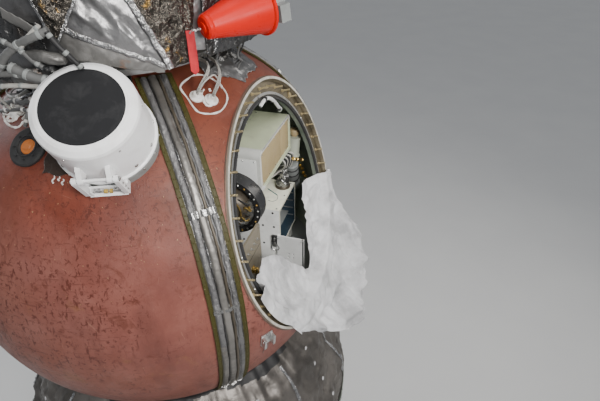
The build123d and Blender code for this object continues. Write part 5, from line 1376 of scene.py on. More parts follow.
b.revolve(rel(.452, -.668, .046), Vector((.04, -.10, 1)), [(0, 0)] + [(wrap_r(.180 * k / 30) * 0.68, .126 * k / 30) for k in range(31)] + [(0, .127)], MATS["foil_wrap"], 48)
for i in range(base, len(b.v)):
    p = Vector(b.v[i])
    b.v[i] = tuple(p + Vector((nz(p, 28, 1), nz(p, 28, 2), 0)) * 0.009 + Vector((crumple(p, 34, 3), crumple(p, 34, 4), 0)) * 0.006)
b.revolve(rel(.452, -.668, .030), EZ, [(0, 0), (.052, 0), (.052, .012), (.047, .018), (0, .018)], X_BRONZE, 30)
b.emit("wrapped_cone", slot="foil_wrap", sharp=45)
b = Batch()
for k in range(7):
    x = .37 + .022 * k
    b.tube(spline([rel(x, -.690, .300 - .004 * k), rel(x + .010, -.712 - .003 * k, .262), rel(x + .030, -.700, .215 - .010 * k), rel(x + .052 - .010 * k, -.660, .170), rel(x + .02, -.60, .12)], 7), 0.0046 if k % 3 else 0.0065, X_BLACK if k % 2 else X_WIRE_WHITE, 7)
b.cyl(rel(.470, -.742, .250), rel(.720, -.735, .105), 0.0085, X_BRASS, 16, bev=0.002)
for t in (0.0, 0.35, 0.9):
    p = rel(.470, -.742, .250).lerp(rel(.720, -.735, .105), t)
    d = Vector((.25, .007, -.145)).normalized()
    b.revolve(p, d, [(.0085, 0), (.0135, .002), (.0135, .014), (.0085, .016)], X_BRASS, 8)
b.revolve(rel(.630, -.690, .185), Vector((.06, -.06, 1)), [(0, 0), (.050, 0), (.050, .010), (.044, .014), (.044, .130), (.050, .134), (.050, .146), (.030, .150), (0, .150)], MATS["pale_green_paint"], 30)
b.revolve(rel(.640, -.700, .336), Vector((.06, -.06, 1)), [(0, 0), (.020, 0), (.020, .012), (.034, .016), (.036, .040), (.030, .050), (0, .052)], X_TAN, 24)
b.revolve(rel(.600, -.690, .140), Vector((.40, 0.10, -1)), [(0, 0), (.040, 0), (.048, .008), (.048, .200), (.054, .206), (.054, .236), (.042, .246), (0, .248)], MATS["grey_paint"], 30)
for k in range(3):
    b.revolve(rel(.600, -.690, .140) + Vector((.40, .10, -1)).normalized() * (.04 + .06 * k), Vector((.40, 0.10, -1)), [(.048, 0), (.0515, .002), (.0515, .010), (.048, .012)], X_BLACK, 30)
for k in range(6):
    b.bolt(rel(.790 + .010 * (k % 2), -.700 - .012 * k, .010 - .030 * k), Vector((-.6, -.5, .1)).normalized(), 0.010, X_BRASS, 0.012)
b.emit("side_fittings", slot="grey_paint", sharp=35)

# white tube over the box, in the dark space above
b = Batch()
b.tube(spline([rel(.055, -.690, .790), rel(.085, -.700, .808), rel(.130, -.705, .808), rel(.185, -.708, .782), rel(.250, -.708, .735), rel(.310, -.705, .685), rel(.365, -.700, .650), rel(.40, -.68, .62)], 8), 0.0105, X_WHITE, 12)
b.tube(spline([rel(.00, -.640, .800), rel(.07, -.660, .840), rel(.16, -.66, .835), rel(.27, -.65, .775), rel(.36, -.64, .70)], 8), 0.0075, MATS["grey_paint"], 10)
for x, z in ((.10, .812), (.22, .760), (.33, .668)):
    b.box(rel(x, -.700, z), (Vector((.7, 0, -.5)).normalized(), EY, Vector((.5, 0, .7)).normalized()), (.018, .028, .028), X_BLACK, 0.003)
b.emit("upper_pipes", slot="white_paint", sharp=45)

# hull inside: hoops and wiring along them
b = Batch()
for el in (-38, -22, -6, 10, 26, 42, 56):
    z0, r0 = math.sin(math.radians(el)), math.cos(math.radians(el))
    for a0, a1 in ((-40, 220),) if abs(el - 8) < 36 else ((-180, 180),):
        prof = [(r0 * 1.0935, z0 * 1.0935 - .008), (r0 * 1.0935 - .022, z0 * 1.0935 - .008), (r0 * 1.0935 - .022, z0 * 1.0935 - .004), (r0 * 1.0935 - .004, z0 * 1.0935 - .004),
                (r0 * 1.0935 - .004, z0 * 1.0935 + .008), (r0 * 1.0935, z0 * 1.0935 + .008)]
        b.revolve(C, EZ, prof, MATS["green_grey_paint"], 120, EX, a0, a1)
b.emit("hull_hoops", slot="green_grey_paint", sharp=35)
b = Batch()
ir = random.Random(9)
for k in range(34):
    az = ir.uniform(-15, 140)
    el = ir.uniform(-20, 40)
    line = []
    for i in range(18):
        t = i / 17
        d = direction(az + 46 * t + 3 * nz((t * 4, k, 0), 1, k), el + 5 * nz((t * 3, 0, k), 1, k + 5))
        line.append(C + d * (1.072 - 0.010 * ir.random()))
    b.tube(line, ir.choice([.004, .006, .009]), ir.choice([X_WIRE_GREY, X_BLACK, X_WIRE_WHITE, X_WIRE_GREY]), 7)
for x, y, r in ((-.560, .420, .022), (.560, .420, .022), (-.640, -.200, .022), (.640, -.200, .022)):
    for k in range(3):
        a = 2.1 * k + x
        b.tube([rel(x + (r + .007) * math.cos(a + .25 * math.sin(t * 5)), y + (r + .007) * math.sin(a + .25 * math.sin(t * 5)), lerp(-.43, .55, t)) for t in np.linspace(0, 1, 16)], 0.0055, [X_WIRE_GREY, X_BLACK, X_WIRE_WHITE][k], 7)
    for z in (-.30, -.05, .20, .42):
        b.revolve(rel(x, y, z), EZ, [(r, 0), (r + .016, .001), (r + .016, .013), (r, .014)], X_SEAL, 20)
    b.revolve(rel(x, y, -.440), EZ, [(0, 0), (.050, 0), (.050, .006), (r + .004, .012), (r + .004, .026), (r, .028)], MATS["bare_alloy"], 24)
b.emit("inside_wiring", slot="cable_jacket", sharp=60)

# decks: edge angle, bolt rows, grid of fixing points, two small stowed units away from the way in
b = Batch()
for az in range(-20, 201, 10):
    d = direction(az, 0)
    b.bolt(rel(d.x * .955, d.y * .955, -.4400), EZ, 0.0075, X_STEEL, 0.006)
for i in range(-6, 7):
    for j in range(-5, 6):
        x, y = i * .13 + .05, j * .13 - .02
        if math.hypot(x, y) < .86 and not (.13 < x < .54 and y < -.38):
            b.revolve(rel(x, y, -.4400), EZ, [(.011, 0), (.011, .0015), (.006, .0022), (.006, .0004), (0, .0004)], MATS["bare_alloy"], 10)
b.box(rel(-.10, -.815, -.4375), (EX, EY, EZ), (.44, .024, .004), X_SILVERPANEL, 0.001)
b.emit("deck_fixings", slot="bare_alloy", sharp=35)
b = Batch()
for x, y, z0, w, d, h, m in ((.72, .05, -.44, .20, .42, .26, MATS["grey_paint"]), (-.74, .10, -.44, .18, .36, .20, MATS["cream_paint"]), (-.05, .62, -.44, .60, .26, .30, X_WHITE), (.0, .50, .58, .50, .26, .14, MATS["grey_paint"])):
    b.box(rel(x, y, z0 + h / 2 + .004), (EX, EY, EZ), (w, d, h), m, .012)
    for sx in (-1, 1):
        for sy in (-1, 1):
            b.box(rel(x + sx * (w / 2 + .010), y + sy * (d / 2 - .04), z0 + .006), (EX, EY, EZ), (.026, .034, .010), MATS["bare_alloy"], .002)
            b.bolt(rel(x + sx * (w / 2 + .012), y + sy * (d / 2 - .04), z0 + .011), EZ, .005, X_STEEL, .005)
    n = max(2, int(w / .09))
    for k in range(n):
        xx = x - w / 2 + w * (k + .5) / n
        b.revolve(rel(xx, y - d / 2, z0 + h * .62), -EY, [(0, 0), (.017, 0), (.017, .010), (.013, .012), (.013, .024), (.016, .026), (.016, .034), (0, .036)], X_STEEL, 18)
        b.tube(spline([rel(xx, y - d / 2 - .034, z0 + h * .62), rel(xx, y - d / 2 - .060, z0 + h * .60), rel(xx + .01, y - d / 2 - .066, z0 + h * .35), rel(xx + .02, y - d / 2 - .030, z0 + .012)], 7), .006, X_BLACK if k % 2 else X_WIRE_GREY, 8)
    for zz in (.2, .8):
        b.box(rel(x, y - d / 2 - .0015, z0 + h * zz), (EX, EY, EZ), (w * .86, .003, .006), X_BLACK, .0008)
b.emit("inside_units", slot="grey_paint", sharp=35)

# ------------------------------------------------------------------ white cloth over the hatch sill
CLOTH_EDGE = [(-172, (-.520, -.070, .868)), (-160, (-.390, -.100, .815)), (-145, (-.250, -.190, .800)), (-125, (-.155, -.275, .800)),
              (-105, (-.040, -.440, .805)), (-92, (.022, -.545, .820)), (-84, (.056, -.562, .832)), (-76, (.088, -.535, .838)),
              (-66, (.118, -.465, .843)), (-55, (.168, -.392, .846)), (-42, (.216, -.272, .850)), (-28, (.246, -.145, .858)), (-14, (.275, -.042, .868))]
CLOTH_HEM = [(-141, (-.545, -1.010, -.225)), (-130, (-.482, -1.044, -.310)), (-122, (-.408, -1.056, -.392)), (-112, (-.272, -1.092, -.512)),
             (-100, (-.148, -1.165, -.655)), (-88, (-.020, -1.256, -.740)), (-76, (.075, -1.318, -.795)), (-66, (.175, -1.350, -.800)),
             (-54, (.300, -1.322, -.680)), (-42, (.430, -1.290, -.560)), (-30, (.535, -1.235, -.455)), (-14, (.715, -1.010, -.235))]


def row(rows, x):
    for (a, p), (b, q) in zip(rows, rows[1:]):
        if x <= b:
            t = smooth((x - a) / (b - a)) if x > a else 0.0
            return tuple(lerp(i, j, t) for i, j in zip(p, q))
    return rows[-1][1]


def ridges(u, v):
    h = 0.0
    for c, lean, w, a in ((0.40, 0.10, 0.010, 0.016), (0.47, 0.06, 0.013, 0.026), (0.545, -0.05, 0.017, 0.036), (0.61, 0.12, 0.010, 0.020), (0.66, 0.10, 0.013, 0.034), (0.735, 0.02, 0.020, 0.050), (0.785, -0.12, 0.009, 0.018), (0.84, -0.10, 0.014, 0.036), (0.91, -0.04, 0.016, 0.036)):
        h += a * math.exp(-((u - c - lean * (v - 0.6)) / w) ** 2)
    return 1.35 * h * (1 - 0.85 * smooth((v - 0.82) / 0.15))


def cloth_point(u, v, plain=False):
    th = -172.0 + 158.0 * u
    a = math.radians(th)
    ca, sa = math.cos(a), math.sin(a)
    out = smooth((th + 143) / 18)
    e = row(CLOTH_EDGE, th)
    tent = math.sin(20 * a) ** 2
    rr = [0.598, 0.617, lerp(0.648, 0.722, out), lerp(0.668, 0.744, out)]
    k2 = at_hatch(rr[0] * ca, rr[0] * sa, 0.880)
    k3 = at_hatch(rr[1] * ca, rr[1] * sa, 0.9325)
    k4 = at_hatch(rr[2] * ca, rr[2] * sa, 0.9350)
    k5 = at_hatch(rr[3] * ca, rr[3] * sa, lerp(0.9350, 0.914, out))
    k0 = at_hatch(*e)
    k1 = at_hatch(lerp(e[0], rr[0] * ca, 0.5), lerp(e[1], rr[0] * sa, 0.5), lerp(e[2], 0.88, 0.5) - 0.020)
    if th < -143:
        k6 = at_hatch(0.700 * ca, 0.700 * sa, 0.9355)
    else:
        k6 = C + Vector(row(CLOTH_HEM, th))
        k6 = at_hatch(0.700 * ca, 0.700 * sa, 0.9355).lerp(k6, out)
    stops = [(0.0, k0), (0.12, k1), (0.24, k2), (0.285, k3), (0.375, k4), (0.42, k5), (1.0, k6)]
    for (a0, p), (b0, q) in zip(stops, stops[1:]):
        if v <= b0 + 1e-9:
            t = (v - a0) / (b0 - a0)
            pos = p.lerp(q, t)
            break
    lie = max(0.0, 1 - abs(v - 0.33) / 0.05)                      # lies over the studs
    pos = pos - HATCH_N * (0.0075 * tent * min(1.0, lie * 1.6))
    if plain:
        return pos
    hangs = smooth((v - 0.42) / 0.35) * out
    inner = smooth((0.24 - v) / 0.14)
    side = Vector((ca, -0.45, 0.0)).normalized()
    f = 0.0
    f += hangs * 0.013 * math.sin(u * 34 + 1.4 * math.sin(v * 4 + u * 9)) * (0.55 + 0.45 * math.sin(u * 17 + 1))
    f += hangs * 0.006 * math.sin(u * 83 + 2.2 * math.sin(v * 6))
    f += hangs * 0.010 * math.sin(u * 27 - v * 5 + 0.6)
    pos = pos + side * f + Vector((0, 0, 1)) * (0.006 * hangs * math.sin(u * 31 + 2))
    pos = pos + Vector((1, 0, 0)) * (0.006 * hangs * math.sin(u * 46 + 2.6 + v * 3))
    n = HATCH_N if v < 0.42 else HATCH_N.lerp(Vector((0, -1, 0)), hangs).normalized()
    soft = 0.020 * nz(pos, 3.6, 1.5) * max(hangs, inner)
    pocket = -0.085 * math.exp(-((th + 84) / 15) ** 2 - ((v - 0.68) / 0.13) ** 2) - 0.050 * math.exp(-((th + 50) / 10) ** 2 - ((v - 0.64) / 0.15) ** 2)
    rim = 0.034 * math.exp(-((v - 0.87) / 0.045) ** 2) * smooth((th + 96) / 22) * smooth((-22 - th) / 16)
    crease = math.exp(-(nz(pos, 4.2, 7.0) / 0.065) ** 2)
    crease2 = math.exp(-(nz(pos, 8.0, 9.0) / 0.085) ** 2)
    amp = 0.55 + 0.45 * max(hangs, inner)
    pos = pos + n * (soft + (pocket + rim) * hangs + 0.015 * crease * amp + 0.006 * crease2 * amp + 0.0006 * abs(crumple(pos, 15.0, 3.0)) + hangs * ridges(u, v) + inner * (0.010 * abs(math.sin(u * 17 + 2.0 * math.sin(v * 16))) + 0.005 * abs(math.sin(u * 41 - 9 * v))))
    return pos


CL_U, CL_V = 162, 98
grid = {}
for i in range(CL_U):
    for j in range(CL_V):
        grid[i, j] = cloth_point(i / (CL_U - 1), (j / (CL_V - 1)))
for i in range(CL_U - 1):
    for j in range(CL_V - 1):
        p, q, r_, s_ = grid[i, j], grid[i + 1, j], grid[i + 1, j + 1], grid[i, j + 1]
cloth = skin("sill_cloth", lambda u, v: grid[round(u * (CL_U - 1)), round(v * (CL_V - 1))], CL_U, CL_V, MATS["white_cloth"], slot="white_cloth", replaces="sill_drape", solid=0.0012, sharp=180)
# a stitched hem along the free edge
hem = Batch()
edge_pts = [grid[i, CL_V - 1] for i in range(CL_U)]
edge_in = [grid[i, CL_V - 4] for i in range(CL_U)]
lift_dir = Vector((0, -1, 0.1)).normalized()
hem_i = [i for i in range(CL_U) if -172.0 + 158.0 * i / (CL_U - 1) > -125]
hem.sheet(lambda u, v: edge_in[hem_i[round(u * (len(hem_i) - 1))]].lerp(edge_pts[hem_i[round(u * (len(hem_i) - 1))]], v * 1.01) + lift_dir * (0.0022 + 0.0012 * math.sin(v * math.pi)), len(hem_i), 5, MATS["white_cloth"])
hem_o = hem.emit("sill_cloth_hem", slot="white_cloth", sharp=180, solid=0.0008)

# ------------------------------------------------------------------ red tag, its eyelet and its knot
TAG_O = rel(-.430, -.605, 1.293)
TAG_X = Vector((.2788, -.9603, 0))
TAG_N = Vector((0.9603, 0.2788, 0))


def tag_point(u, v):
    w = 0.0172 * (1.0 if v < 0.90 else max(0.02, (1 - v) / 0.10))
    s = (u - 0.5) * 2 * w
    return TAG_O + TAG_X * s - Vector((0, 0, 1)) * (0.176 * v) + TAG_N * (0.0008 + 0.0042 * math.sin(v * 5.2) * v + 0.0018 * math.sin(u * 3.1 + v * 8))


TU, TV = 9, 70
tg = {(i, j): tag_point(i / (TU - 1), j / (TV - 1)) for i in range(TU) for j in range(TV)}
for i in range(TU - 1):
    for j in range(TV - 1):
        p, q, r_, s_ = tg[i, j], tg[i + 1, j], tg[i + 1, j + 1], tg[i, j + 1]
tag = skin("warning_tag", tag_point, TU, TV, MATS["red_ribbon"], slot="red_ribbon", replaces="cover_tag", solid=0.0012, sharp=180)
b = Batch()
for s in (-1, 1):
    b.tube([tag_point(0.5 + s * 0.44, v) + TAG_N * -0.0012 for v in np.linspace(0.01, 0.89, 30)], 0.0007, MATS["red_ribbon"], 5)
b.revolve(TAG_O + Vector((0, 0, -0.008)) - TAG_N * 0.0016, TAG_N, [(0.0022, 0), (0.0042, 0.0004), (0.0042, 0.0030), (0.0022, 0.0034)], X_STEEL, 16)
eyelet = b.emit("tag_eyelet", slot="bare_alloy", sharp=60)
b = Batch()
k0 = TAG_O + Vector((0, 0, -0.008))
k1 = TAG_O + TAG_X * 0.044 + Vector((0, 0, 0.006))
for j, (dz, dn) in enumerate(((0.004, 0.003), (-0.004, -0.003), (0.0, 0.006))):
    b.tube(spline([k0, k0 + TAG_X * 0.010 + Vector((0, 0, 0.010 + dz)) + TAG_N * dn, k0 + TAG_X * 0.022 + Vector((0, 0, 0.008 - dz)) - TAG_N * dn,
                   k0 + TAG_X * 0.034 + Vector((0, 0, 0.014 + dz)) + TAG_N * dn * 0.5, k1], 7), 0.0013, X_STEEL, 7, rad=lambda t: 1 + 0.15 * math.sin(t * 90))
b.revolve(k1 - TAG_X * 0.006, TAG_X, [(0, 0), (0.0040, 0.001), (0.0052, 0.004), (0.0040, 0.008), (0, 0.009)], X_STEEL, 14)
b.ball(k0 + TAG_X * 0.026 + Vector((0, 0, 0.010)), 0.0050, X_STEEL, 10, (1.2, 1.0, 0.8))
b.emit("tag_wire", slot="bare_alloy", sharp=60)

# ------------------------------------------------------------------ service module: film over the neck
def neck_film(u, v):
    az = u * 360
    ca, sa = math.cos(math.radians(az)), math.sin(math.radians(az))
    rows = [(0.0, 1.215, 2.445), (0.04, 1.240, 2.440), (0.30, 1.218, 2.640), (0.56, 1.108, 2.880), (0.78, 1.012, 3.075), (0.90, 0.920, 3.165), (1.0, 0.835, 3.238)]
    for (a0, r0, z0), (b0, r1, z1) in zip(rows, rows[1:]):
        if v <= b0 + 1e-9:
            t = (v - a0) / (b0 - a0)
            r, z = lerp(r0, r1, t), lerp(z0, z1, t)
            break
    p = (ca, sa, z)
    env = math.sin(math.pi * min(1.0, max(0.0, (v - 0.02) / 0.9)))
    lobes = 12
    pocket = abs(math.sin(math.radians(az) * lobes / 2 + 0.3))
    h = 0.022 * (pocket ** 0.6 - 0.6) * env + 0.020 * crumple(p, 5.0, 1) * (0.3 + env) + 0.012 * crumple(p, 13, 2) * (0.4 + env)
    h += 0.010 * env * math.sin(az * 0.35 + 9 * z + 2 * nz(p, 3, 4))
    pleat = smooth((v - 0.45) / 0.35)
    h += pleat * (0.016 * abs(math.sin(math.radians(az) * 19 + 2.5 * nz(p, 2.2, 6))) + 0.008 * abs(math.sin(math.radians(az) * 47 + 3 * nz(p, 4, 8))) - 0.010)
    r2 = r + h * 0.9
    q = Vector((r2 * ca, r2 * sa, z + h * 0.25))
    d = q - C
    if d.length < R + 0.014:
        q = C + d.normalized() * (R + 0.014)
    return q


# the film's top rows, under the ball, take the black rubber as painted shade of the dark gap there
skin("neck_film", neck_film, 312, 50, [X_NECK, X_BLACK], lambda u, v: 1 if v > 0.93 + 0.03 * math.sin(u * 44) else 0, close=True, slot="blanket", replaces="neck_blanket", solid=0.0018, sharp=60)
b = Batch()
for z, rr, w in ((2.452, 1.2475, 0.040),):
    b.sheet(lambda u, v: Vector((0, 0, z + (v - 0.5) * w)) + Vector((math.cos(u * 6.2832), math.sin(u * 6.2832), 0)) * (rr + 0.0022 * abs(crumple((math.cos(u * 6.2832) * 2, math.sin(u * 6.2832) * 2, v * .1), 16, 3))), 220, 4, X_FOIL_BRIGHT, True)
for k in range(12):
    az0 = 30 * k + 9
    for (v0, v1) in ((0.05, 0.90),):
        def seam(u, v, az0=az0):
            p = neck_film((az0 + (u - 0.5) * 1.3) / 360 % 1.0, lerp(v0, v1, v))
            o = Vector((p.x, p.y, 0)).normalized()
            return p + o * 0.0040 + Vector((0, 0, 0.001))
        b.sheet(seam, 4, 46, X_FOIL_BRIGHT)
    for j in range(5):
        p = neck_film(((az0 + 15) / 360) % 1.0, 0.18 + 0.16 * j)
        o = (Vector((p.x, p.y, 0)).normalized() + Vector((0, 0, 0.35))).normalized()
        b.revolve(p + o * 0.001, o, [(0.014, 0), (0.014, 0.003), (0.005, 0.006), (0, 0.006)], MATS["white_cloth"], 12)
b.emit("neck_tapes", slot="foil_wrap", sharp=60, solid=0.0)

# painted shadow where the ball meets the neck, with the straps' shadows: a soft black edge roll
b = Batch()
line = []
for k in range(180):
    a = 2 * math.pi * k / 180
    z = 3.246 + 0.006 * math.sin(a * 7) + 0.004 * math.sin(a * 19)
    zr = z - C.z
    rr = math.sqrt(R * R - zr * zr)
    line.append(Vector((math.cos(a) * (rr + 0.013), math.sin(a) * (rr + 0.013), z)))
b.tube(line, 0.010, X_BLACK, 10, True, rad=lambda t: 1 + 0.18 * math.sin(t * 231) + 0.1 * math.sin(t * 511))
b.emit("neck_shadow_roll", slot="blanket", sharp=60)


# ------------------------------------------------------------------ lower cone: quilted film in gores, tapes and buttons
def cone_r(z):
    return lerp(1.072, 1.200, (z - 0.670) / 1.180)


def cone_film(u, v):
    az = u * 360
    z = lerp(0.690, 1.838, v)
    ca, sa = math.cos(math.radians(az)), math.sin(math.radians(az))
    gx = abs(math.sin(math.radians(az) * 12))
    gz = abs(math.sin(v * math.pi * 5))
    puff = 0.012 * (gx ** 0.5) * (gz ** 0.5)
    p = (ca, sa, z)
    return Vector((0, 0, z)) + Vector((ca, sa, 0)) * (cone_r(z) + 0.004 + puff + 0.0045 * abs(crumple(p, 11, 5)) * (0.3 + gx * gz))


skin("lower_cone_film", cone_film, 312, 56, MATS["blanket"], close=True, slot="blanket", solid=0.0, sharp=180)
b = Batch()
for v in (0.0, 0.2, 0.4, 0.6, 0.8, 1.0):
    z = lerp(0.695, 1.833, v)
    b.sheet(lambda u, w: Vector((0, 0, z + (w - 0.5) * 0.024)) + Vector((math.cos(u * 6.2832), math.sin(u * 6.2832), 0)) * (cone_r(z) + 0.0075 + 0.0012 * math.sin(u * 300)), 192, 3, X_FOIL_BRIGHT, True)
for k in range(24):
    az = 15 * k
    c = Vector((math.cos(math.radians(az)), math.sin(math.radians(az)), 0))
    t = Vector((-c.y, c.x, 0))
    b.sheet(lambda u, v: Vector((0, 0, lerp(0.695, 1.833, v))) + c * (cone_r(lerp(0.695, 1.833, v)) + 0.0085) + t * (u - 0.5) * 0.020, 3, 40, X_FOIL_BRIGHT)
    for j in range(5):
        z = lerp(0.695, 1.833, 0.1 + 0.2 * j)
        c2 = Vector((math.cos(math.radians(az + 7.5)), math.sin(math.radians(az + 7.5)), 0))
        b.revolve(Vector((0, 0, z)) + c2 * (cone_r(z) + 0.016), c2, [(0.012, 0), (0.012, 0.003), (0.004, 0.005), (0, 0.005)], MATS["white_cloth"], 10)
b.emit("lower_cone_tapes", slot="foil_wrap", sharp=60, solid=0.0)

# ------------------------------------------------------------------ middle section: radiators, flange bolts, seams and boxes
b = Batch()
for k in range(8):
    m = 22.5 + 45 * k
    for j in range(17):
        z = 1.932 + 0.0254 * j
        rows = [(1.2395, z - 0.0085), (1.2455, z - 0.0040), (1.2475, z + 0.0060), (1.2455, z + 0.0068), (1.2430, z - 0.0030), (1.2395, z - 0.0060)]
        b.revolve((0, 0, 0), (0, 0, 1), rows, MATS["white_paint"], 11, (1, 0, 0), m - 15.0, m + 15.0)
    for s in (-1, 1):
        c = Vector((math.cos(math.radians(m + s * 15.6)), math.sin(math.radians(m + s * 15.6)), 0))
        t = Vector((-c.y, c.x, 0))
        b.box(c * 1.2425 + Vector((0, 0, 2.135)), (c, t, Vector((0, 0, 1))), (0.009, 0.018, 0.440), MATS["white_paint"], 0.002)
        for j in range(7):
            b.bolt(c * 1.2465 + Vector((0, 0, 1.945 + 0.0635 * j)), c, 0.0045, X_STEEL, 0.0035)
    for z in (1.9165, 2.3545):
        b.revolve((0, 0, 0), (0, 0, 1), [(1.2385, z - .006), (1.2465, z - .006), (1.2465, z + .006), (1.2385, z + .006)], MATS["white_paint"], 14, (1, 0, 0), m - 16, m + 16)
b.emit("radiator_louvres", slot="white_paint", sharp=35)
b = Batch()
for z, s in ((1.876, 1), (1.850, -1), (2.394, -1), (2.420, 1)):
    for k in range(48):
        a = math.radians(7.5 * k + 3.75)
        b.bolt(Vector((1.2335 * math.cos(a), 1.2335 * math.sin(a), z)), (0, 0, s), 0.0072, X_STEEL, 0.0075)
for k in range(8):
    m = 45 * k
    c = Vector((math.cos(math.radians(m)), math.sin(math.radians(m)), 0))
    t = Vector((-c.y, c.x, 0))
    if k % 2:
        # junction boxes with plugs between the radiators
        b.box(c * 1.238 + Vector((0, 0, 2.18)), (c, t, Vector((0, 0, 1))), (0.046, 0.120, 0.180), MATS["grey_paint"], 0.006)
        b.box(c * 1.263 + Vector((0, 0, 2.18)), (c, t, Vector((0, 0, 1))), (0.004, 0.104, 0.164), MATS["grey_paint"], 0.0015)
        for sx in (-1, 1):
            for sz in (-1, 1):
                b.bolt(c * 1.2650 + t * sx * 0.044 + Vector((0, 0, 2.18 + sz * 0.074)), c, 0.0038, X_STEEL, 0.003)
        for sx in (-1, 0, 1):
            q = c * 1.240 + t * sx * 0.034 + Vector((0, 0, 2.088))
            b.revolve(q, (0, 0, -1), [(0, 0), (0.014, 0), (0.014, 0.014), (0.011, 0.016), (0.011, 0.030), (0.014, 0.032), (0, 0.040)], X_STEEL, 18)
            b.tube(spline([q + Vector((0, 0, -0.036)), q + Vector((0, 0, -0.070)) + c * 0.004, q + Vector((0, 0, -0.140)) + t * 0.012 * sx, c * 1.232 + t * sx * 0.022 + Vector((0, 0, 1.885))], 8), 0.0065, X_BLACK, 8)
    for j in range(14):
        for sx in (-1, 1):
            b.revolve(c * 1.2148 + t * sx * 0.095 + Vector((0, 0, 1.895 + 0.0365 * j)), c, [(0.0042, 0), (0.0036, 0.0014), (0, 0.0020)], MATS["white_paint"], 8)
b.emit("mid_section_fixings", slot="bare_alloy", sharp=35)

# thruster blocks: screws and feed pipes
b = Batch()
for k in range(4):
    c = Vector((math.cos(math.radians(90 * k)), math.sin(math.radians(90 * k)), 0))
    t = Vector((-c.y, c.x, 0))
    for sx in (-1, 1):
        for z in (2.055, 2.215):
            b.bolt(c * 1.2888 + t * sx * 0.052 + Vector((0, 0, z)), c, 0.0040, X_STEEL, 0.0035)
    b.tube(spline([c * 1.236 + Vector((0, 0, 2.036)), c * 1.246 + Vector((0, 0, 1.990)), c * 1.240 + t * 0.02 + Vector((0, 0, 1.930)), c * 1.236 + t * 0.03 + Vector((0, 0, 1.884))], 8), 0.0055, X_STEEL, 8)
    b.tube(spline([c * 1.236 - t * 0.022 + Vector((0, 0, 2.036)), c * 1.243 - t * 0.026 + Vector((0, 0, 1.985)), c * 1.240 - t * 0.02 + Vector((0, 0, 1.930)), c * 1.236 - t * 0.035 + Vector((0, 0, 1.884))], 8), 0.0045, X_STEEL, 8)
b.emit("thruster_block_detail", slot="bare_alloy", sharp=35)

# ------------------------------------------------------------------ skirt: ribs, rivets, doors, ring bolts
def skirt_r(z):
    return lerp(0.988, 1.060, (z - 0.080) / 0.560)


b = Batch()
for k in range(36):
    a = math.radians(10 * k + 5)
    c, t = Vector((math.cos(a), math.sin(a), 0)), Vector((-math.sin(a), math.cos(a), 0))
    lo, hi = 0.118, 0.622
    axis = (c * skirt_r(hi) + Vector((0, 0, hi)) - c * skirt_r(lo) - Vector((0, 0, lo))).normalized()
    n = t.cross(axis).normalized()
    b.box(c * (skirt_r((lo + hi) / 2) + 0.005) + Vector((0, 0, (lo + hi) / 2)), (n, t, axis), (0.012, 0.022, hi - lo), MATS["white_paint"], 0.003)
    b.box(c * (skirt_r((lo + hi) / 2) + 0.0006) + Vector((0, 0, (lo + hi) / 2)), (n, t, axis), (0.003, 0.044, hi - lo), MATS["white_paint"], 0.001)
    for j in range(12):
        z = lerp(lo + 0.015, hi - 0.015, j / 11)
        for sx in (-1, 1):
            b.revolve(c * (skirt_r(z) + 0.0018) + t * sx * 0.0165 + Vector((0, 0, z)), n, [(0.0032, 0), (0.0026, 0.0012), (0, 0.0017)], MATS["white_paint"], 7)
for z, w in ((0.100, 0.030), (0.628, 0.020)):
    b.revolve((0, 0, 0), (0, 0, 1), [(skirt_r(z - w / 2), z - w / 2), (skirt_r(z - w / 2) + 0.005, z - w / 2), (skirt_r(z + w / 2) + 0.005, z + w / 2), (skirt_r(z + w / 2), z + w / 2)], MATS["white_paint"], 160)
for az in (-60.0, 120.0, 30.0):                                # small doors
    c = Vector((math.cos(math.radians(az)), math.sin(math.radians(az)), 0))
    t = Vector((-c.y, c.x, 0))
    z = 0.36
    axis = (Vector((0, 0, 1)) + c * 0.1286).normalized()
    n = t.cross(axis).normalized()
    b.box(c * (skirt_r(z) + 0.0045) + Vector((0, 0, z)), (n, t, axis), (0.006, 0.120, 0.230), MATS["grey_paint"], 0.002)
    for sx in (-1, 0, 1):
        for sz in (-1, 0, 1):
            if sx or sz:
                b.bolt(c * (skirt_r(z) + 0.0072) + Vector((0, 0, z)) + t * sx * 0.051 + axis * sz * 0.105, n, 0.0036, X_STEEL, 0.0028)
b.emit("skirt_ribs", slot="white_paint", sharp=35)
b = Batch()
for k in range(24):
    a = math.radians(15 * k + 7.5)
    b.bolt(Vector((0.955 * math.cos(a), 0.955 * math.sin(a), 0.026)), (0, 0, 1), 0.0090, X_STEEL, 0.009)
b.emit("adapter_ring_bolts", slot="bare_alloy", sharp=35)

